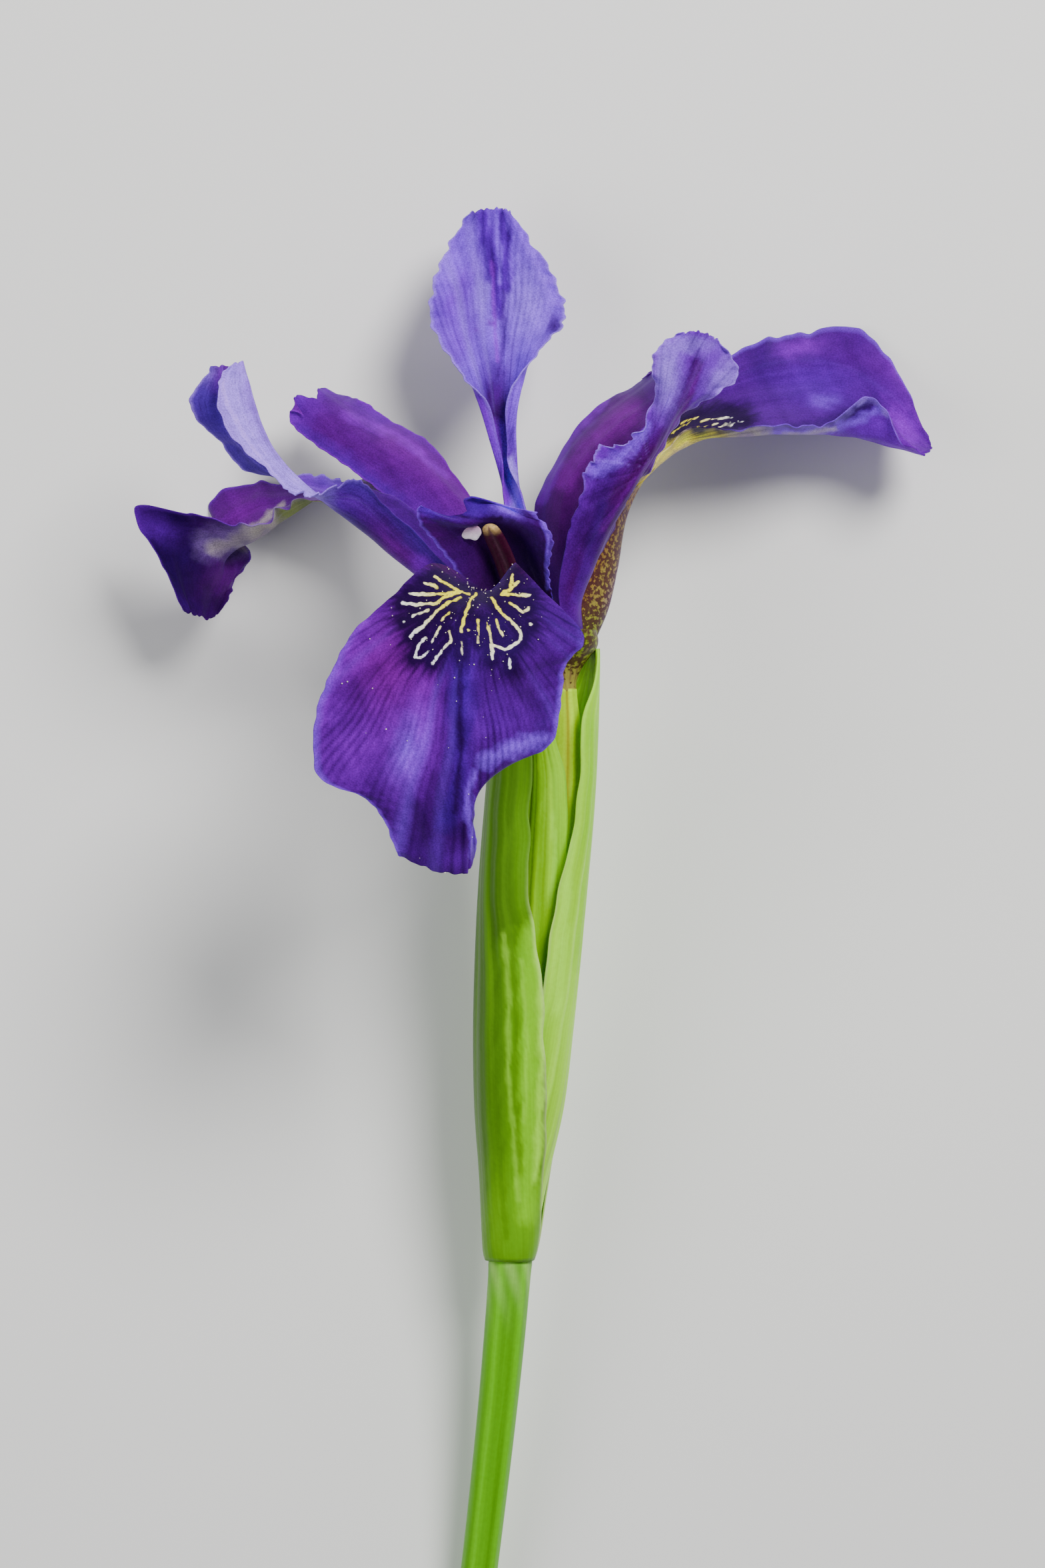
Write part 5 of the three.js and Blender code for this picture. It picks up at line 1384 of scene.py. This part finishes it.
size = add_node(scatter, "FunctionNodeRandomValue", {"data_type": "FLOAT"}, {
    2: given["Smallest radius"], 3: given["Largest radius"], "Seed": given["Seed"],
})
placed = add_node(scatter, "GeometryNodeInstanceOnPoints", links={
    "Points": points.outputs["Points"], "Instance": grain.outputs["Mesh"],
    "Rotation": points.outputs["Rotation"], "Scale": size.outputs[1],
})
real = add_node(scatter, "GeometryNodeRealizeInstances", links={0: placed.outputs[0]})
finished = add_node(scatter, "GeometryNodeSetMaterial", links={
    "Geometry": real.outputs[0], "Material": given["Finish"],
})
result = scatter.nodes.new("NodeGroupOutput")
scatter.links.new(finished.outputs[0], result.inputs[0])

# Dry pollen: matt, uneven cream, like fine flour.
grain_finish, tree, output = new_material("pollen")
place = add_node(tree, "TexCoord").outputs["Object"]
clump = add_node(tree, "TexNoise", links={"Vector": place, "Scale": 400})
tone = add_node(tree, "MapRange", links={
    "Value": clump.outputs[0], "From Min": 0.3, "From Max": 0.7, "To Min": 0.75, "To Max": 1,
})
cream = add_node(tree, "VectorMath", {"operation": "SCALE"}, {
    0: linear(GRAIN_CREAM)[:3], "Scale": tone.outputs[0],
})
shader = add_node(tree, "BsdfPrincipled", links={"Base Color": cream.outputs[0], "Roughness": 0.7})
tree.links.new(shader.outputs[0], output.inputs[0])

surface = bpy.data.objects.new("dusted surface", bpy.data.objects["fall_front"].data.copy())
bpy.context.scene.collection.objects.link(surface)
places = np.zeros(3 * len(surface.data.vertices), np.float32)
surface.data.vertices.foreach_get("co", places)
places = places.reshape(-1, 3) * 1000 - SET_DOWN
far = np.hypot(places[:, 0] - DUST_HEART[0], places[:, 1] - DUST_HEART[1])
dusting = 1.6 * np.exp(-(far / DUST_SPREAD) ** 2) + 0.04
dusting[places[:, 2] < DUST_LOWEST] = 0
surface.data.attributes.new("dusting", "FLOAT", "POINT").data.foreach_set("value", dusting)
modifier = surface.modifiers.new("grains", "NODES")
modifier.node_group = scatter
modifier[sockets["Grains per square metre"]] = float(GRAIN_DENSITY)
modifier[sockets["Smallest radius"]] = GRAIN_SMALL
modifier[sockets["Largest radius"]] = GRAIN_LARGE
modifier[sockets["Seed"]] = GRAIN_SEED
modifier[sockets["Finish"]] = grain_finish
evaluated = surface.evaluated_get(bpy.context.evaluated_depsgraph_get())
grains_mesh = bpy.data.meshes.new_from_object(evaluated)
bpy.data.objects.remove(surface)
grains_mesh.name = "pollen_grains"
grains = bpy.data.objects.new("pollen_grains", grains_mesh)
bpy.context.scene.collection.objects.link(grains)
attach(grains, "root")


# Stigma lips.
# The small pale flap under each style arm, at the foot of its crest, that takes the pollen. It grows
# from the arm and stands off it by the arm's tilt, pale at its free edge and rosy where it grows.
LIP_HALF = (1.3, 1, 0.2)
LIP_PALE = "f4e6f2"
LIP_ROSE = "9c3c8c"
LIP_SIDES = 32
LIP_ROWS = 20


def lip_place(petal):
    """Where a lip grows on a style arm, and its directions: across, out from the arm, and facing."""
    grid, along, q = petal_surface(petal)
    row = int(np.argmin(np.abs(along - petal["lip"][0])))
    column = int(np.argmin(np.abs(q - petal["lip"][1])))
    tangent = grid[row + 1, column] - grid[row - 1, column]
    tangent /= np.linalg.norm(tangent)
    across = grid[row, column + 1] - grid[row, column - 1]
    across -= tangent * (across @ tangent)
    across /= np.linalg.norm(across)
    tilt = np.radians(petal["tilt"])
    reach = tangent * np.cos(tilt) - np.cross(tangent, across) * np.sin(tilt)
    return grid[row, column] + 0.7 * LIP_HALF[1] * reach, across, reach, np.cross(across, reach)


# Moist, tender flesh: a soft shine and the faintest streaks.
lip_skin = tint_material("stigma lip", roughness=0.45, grain=0.2, fibres=(20, 6), streak=0.1)
turn = ring_turns(LIP_SIDES)
polar = np.linspace(0.02, np.pi - 0.02, LIP_ROWS)[:, None]
side = np.sin(polar) * np.cos(turn) * LIP_HALF[0]
length = np.sin(polar) * np.sin(turn) * LIP_HALF[1] * (1 + 0.12 * np.cos(5 * turn))
thick = np.cos(polar) * LIP_HALF[2] + 0.18 * np.cos(side * 1.2)
# These rings run the other way round, so their faces are turned to look outwards.
faces = [face[:1] + face[:0:-1] for face in ring_faces(LIP_ROWS, LIP_SIDES)]
faces.append(tuple(range(LIP_SIDES)))
faces.append(tuple((LIP_ROWS - 1) * LIP_SIDES + k for k in reversed(range(LIP_SIDES))))
rooted = 1 - np.clip(0.55 + 0.6 * length.ravel() / LIP_HALF[1], 0, 1)
for name, petal in PETALS.items():
    if "lip" in petal:
        centre, across, reach, facing = lip_place(petal)
        rings = centre + side[..., None] * across + length[..., None] * reach + thick[..., None] * facing
        vertices = rings.reshape(-1, 3)
        lip_name = name.replace("style_arm", "stigma_lip")
        lip = add_piece(lip_name, vertices, faces, [lip_skin], name)
        set_tint(lip, blend(plain(LIP_PALE, vertices), linear(LIP_ROSE), rooted))
        set_uv(lip, np.tile(turn / FULL_TURN, LIP_ROWS), np.repeat(polar[:, 0], LIP_SIDES) / 3.14)


# Studio.
# A plain pale floor under the lying flower, a wide soft key light from the upper right, a weaker fill
# from the left and an even sky. Each light is its name, its place in layout millimetres, and its width
# in metres and power in watts.
FLOOR_HALF = 1.5
FLOOR_COLOR = "f6f4f0"
LIGHTS = [("key", (240, 320, 520), 0.28, 5.6), ("fill", (-420, -60, 420), 0.5, 1.5)]
SKY_COLOR = "dfe6f0"
SKY_STRENGTH = 0.3

# Matt paint: it takes a soft shadow and gives no reflection.
floor_material, tree, output = new_material("matt pale floor")
shader = add_node(tree, "BsdfPrincipled", links={"Base Color": linear(FLOOR_COLOR), "Roughness": 0.85})
tree.links.new(shader.outputs[0], output.inputs[0])
floor_mesh = bpy.data.meshes.new("floor")
corners = [(FLOOR_HALF * x, FLOOR_HALF * y, 0) for x, y in ((-1, -1), (1, -1), (1, 1), (-1, 1))]
floor_mesh.from_pydata(corners, [], [(0, 1, 2, 3)])
floor_mesh.materials.append(floor_material)
floor = bpy.data.objects.new("floor", floor_mesh)
bpy.context.scene.collection.objects.link(floor)

for name, place, width, power in LIGHTS:
    light_data = bpy.data.lights.new(name, "AREA")
    light_data.shape = "DISK"
    light_data.size = width
    light_data.energy = power
    light = bpy.data.objects.new(name, light_data)
    light.location = metres(place)
    lean = np.arctan2(np.hypot(place[0], place[1]), place[2])
    light.rotation_euler = (lean, 0, np.arctan2(place[1], place[0]) + np.pi / 2)
    bpy.context.scene.collection.objects.link(light)
world = bpy.data.worlds.new("sky")
world.use_nodes = True
world.node_tree.nodes["Background"].inputs[0].default_value = linear(SKY_COLOR)
world.node_tree.nodes["Background"].inputs[1].default_value = SKY_STRENGTH
bpy.context.scene.world = world
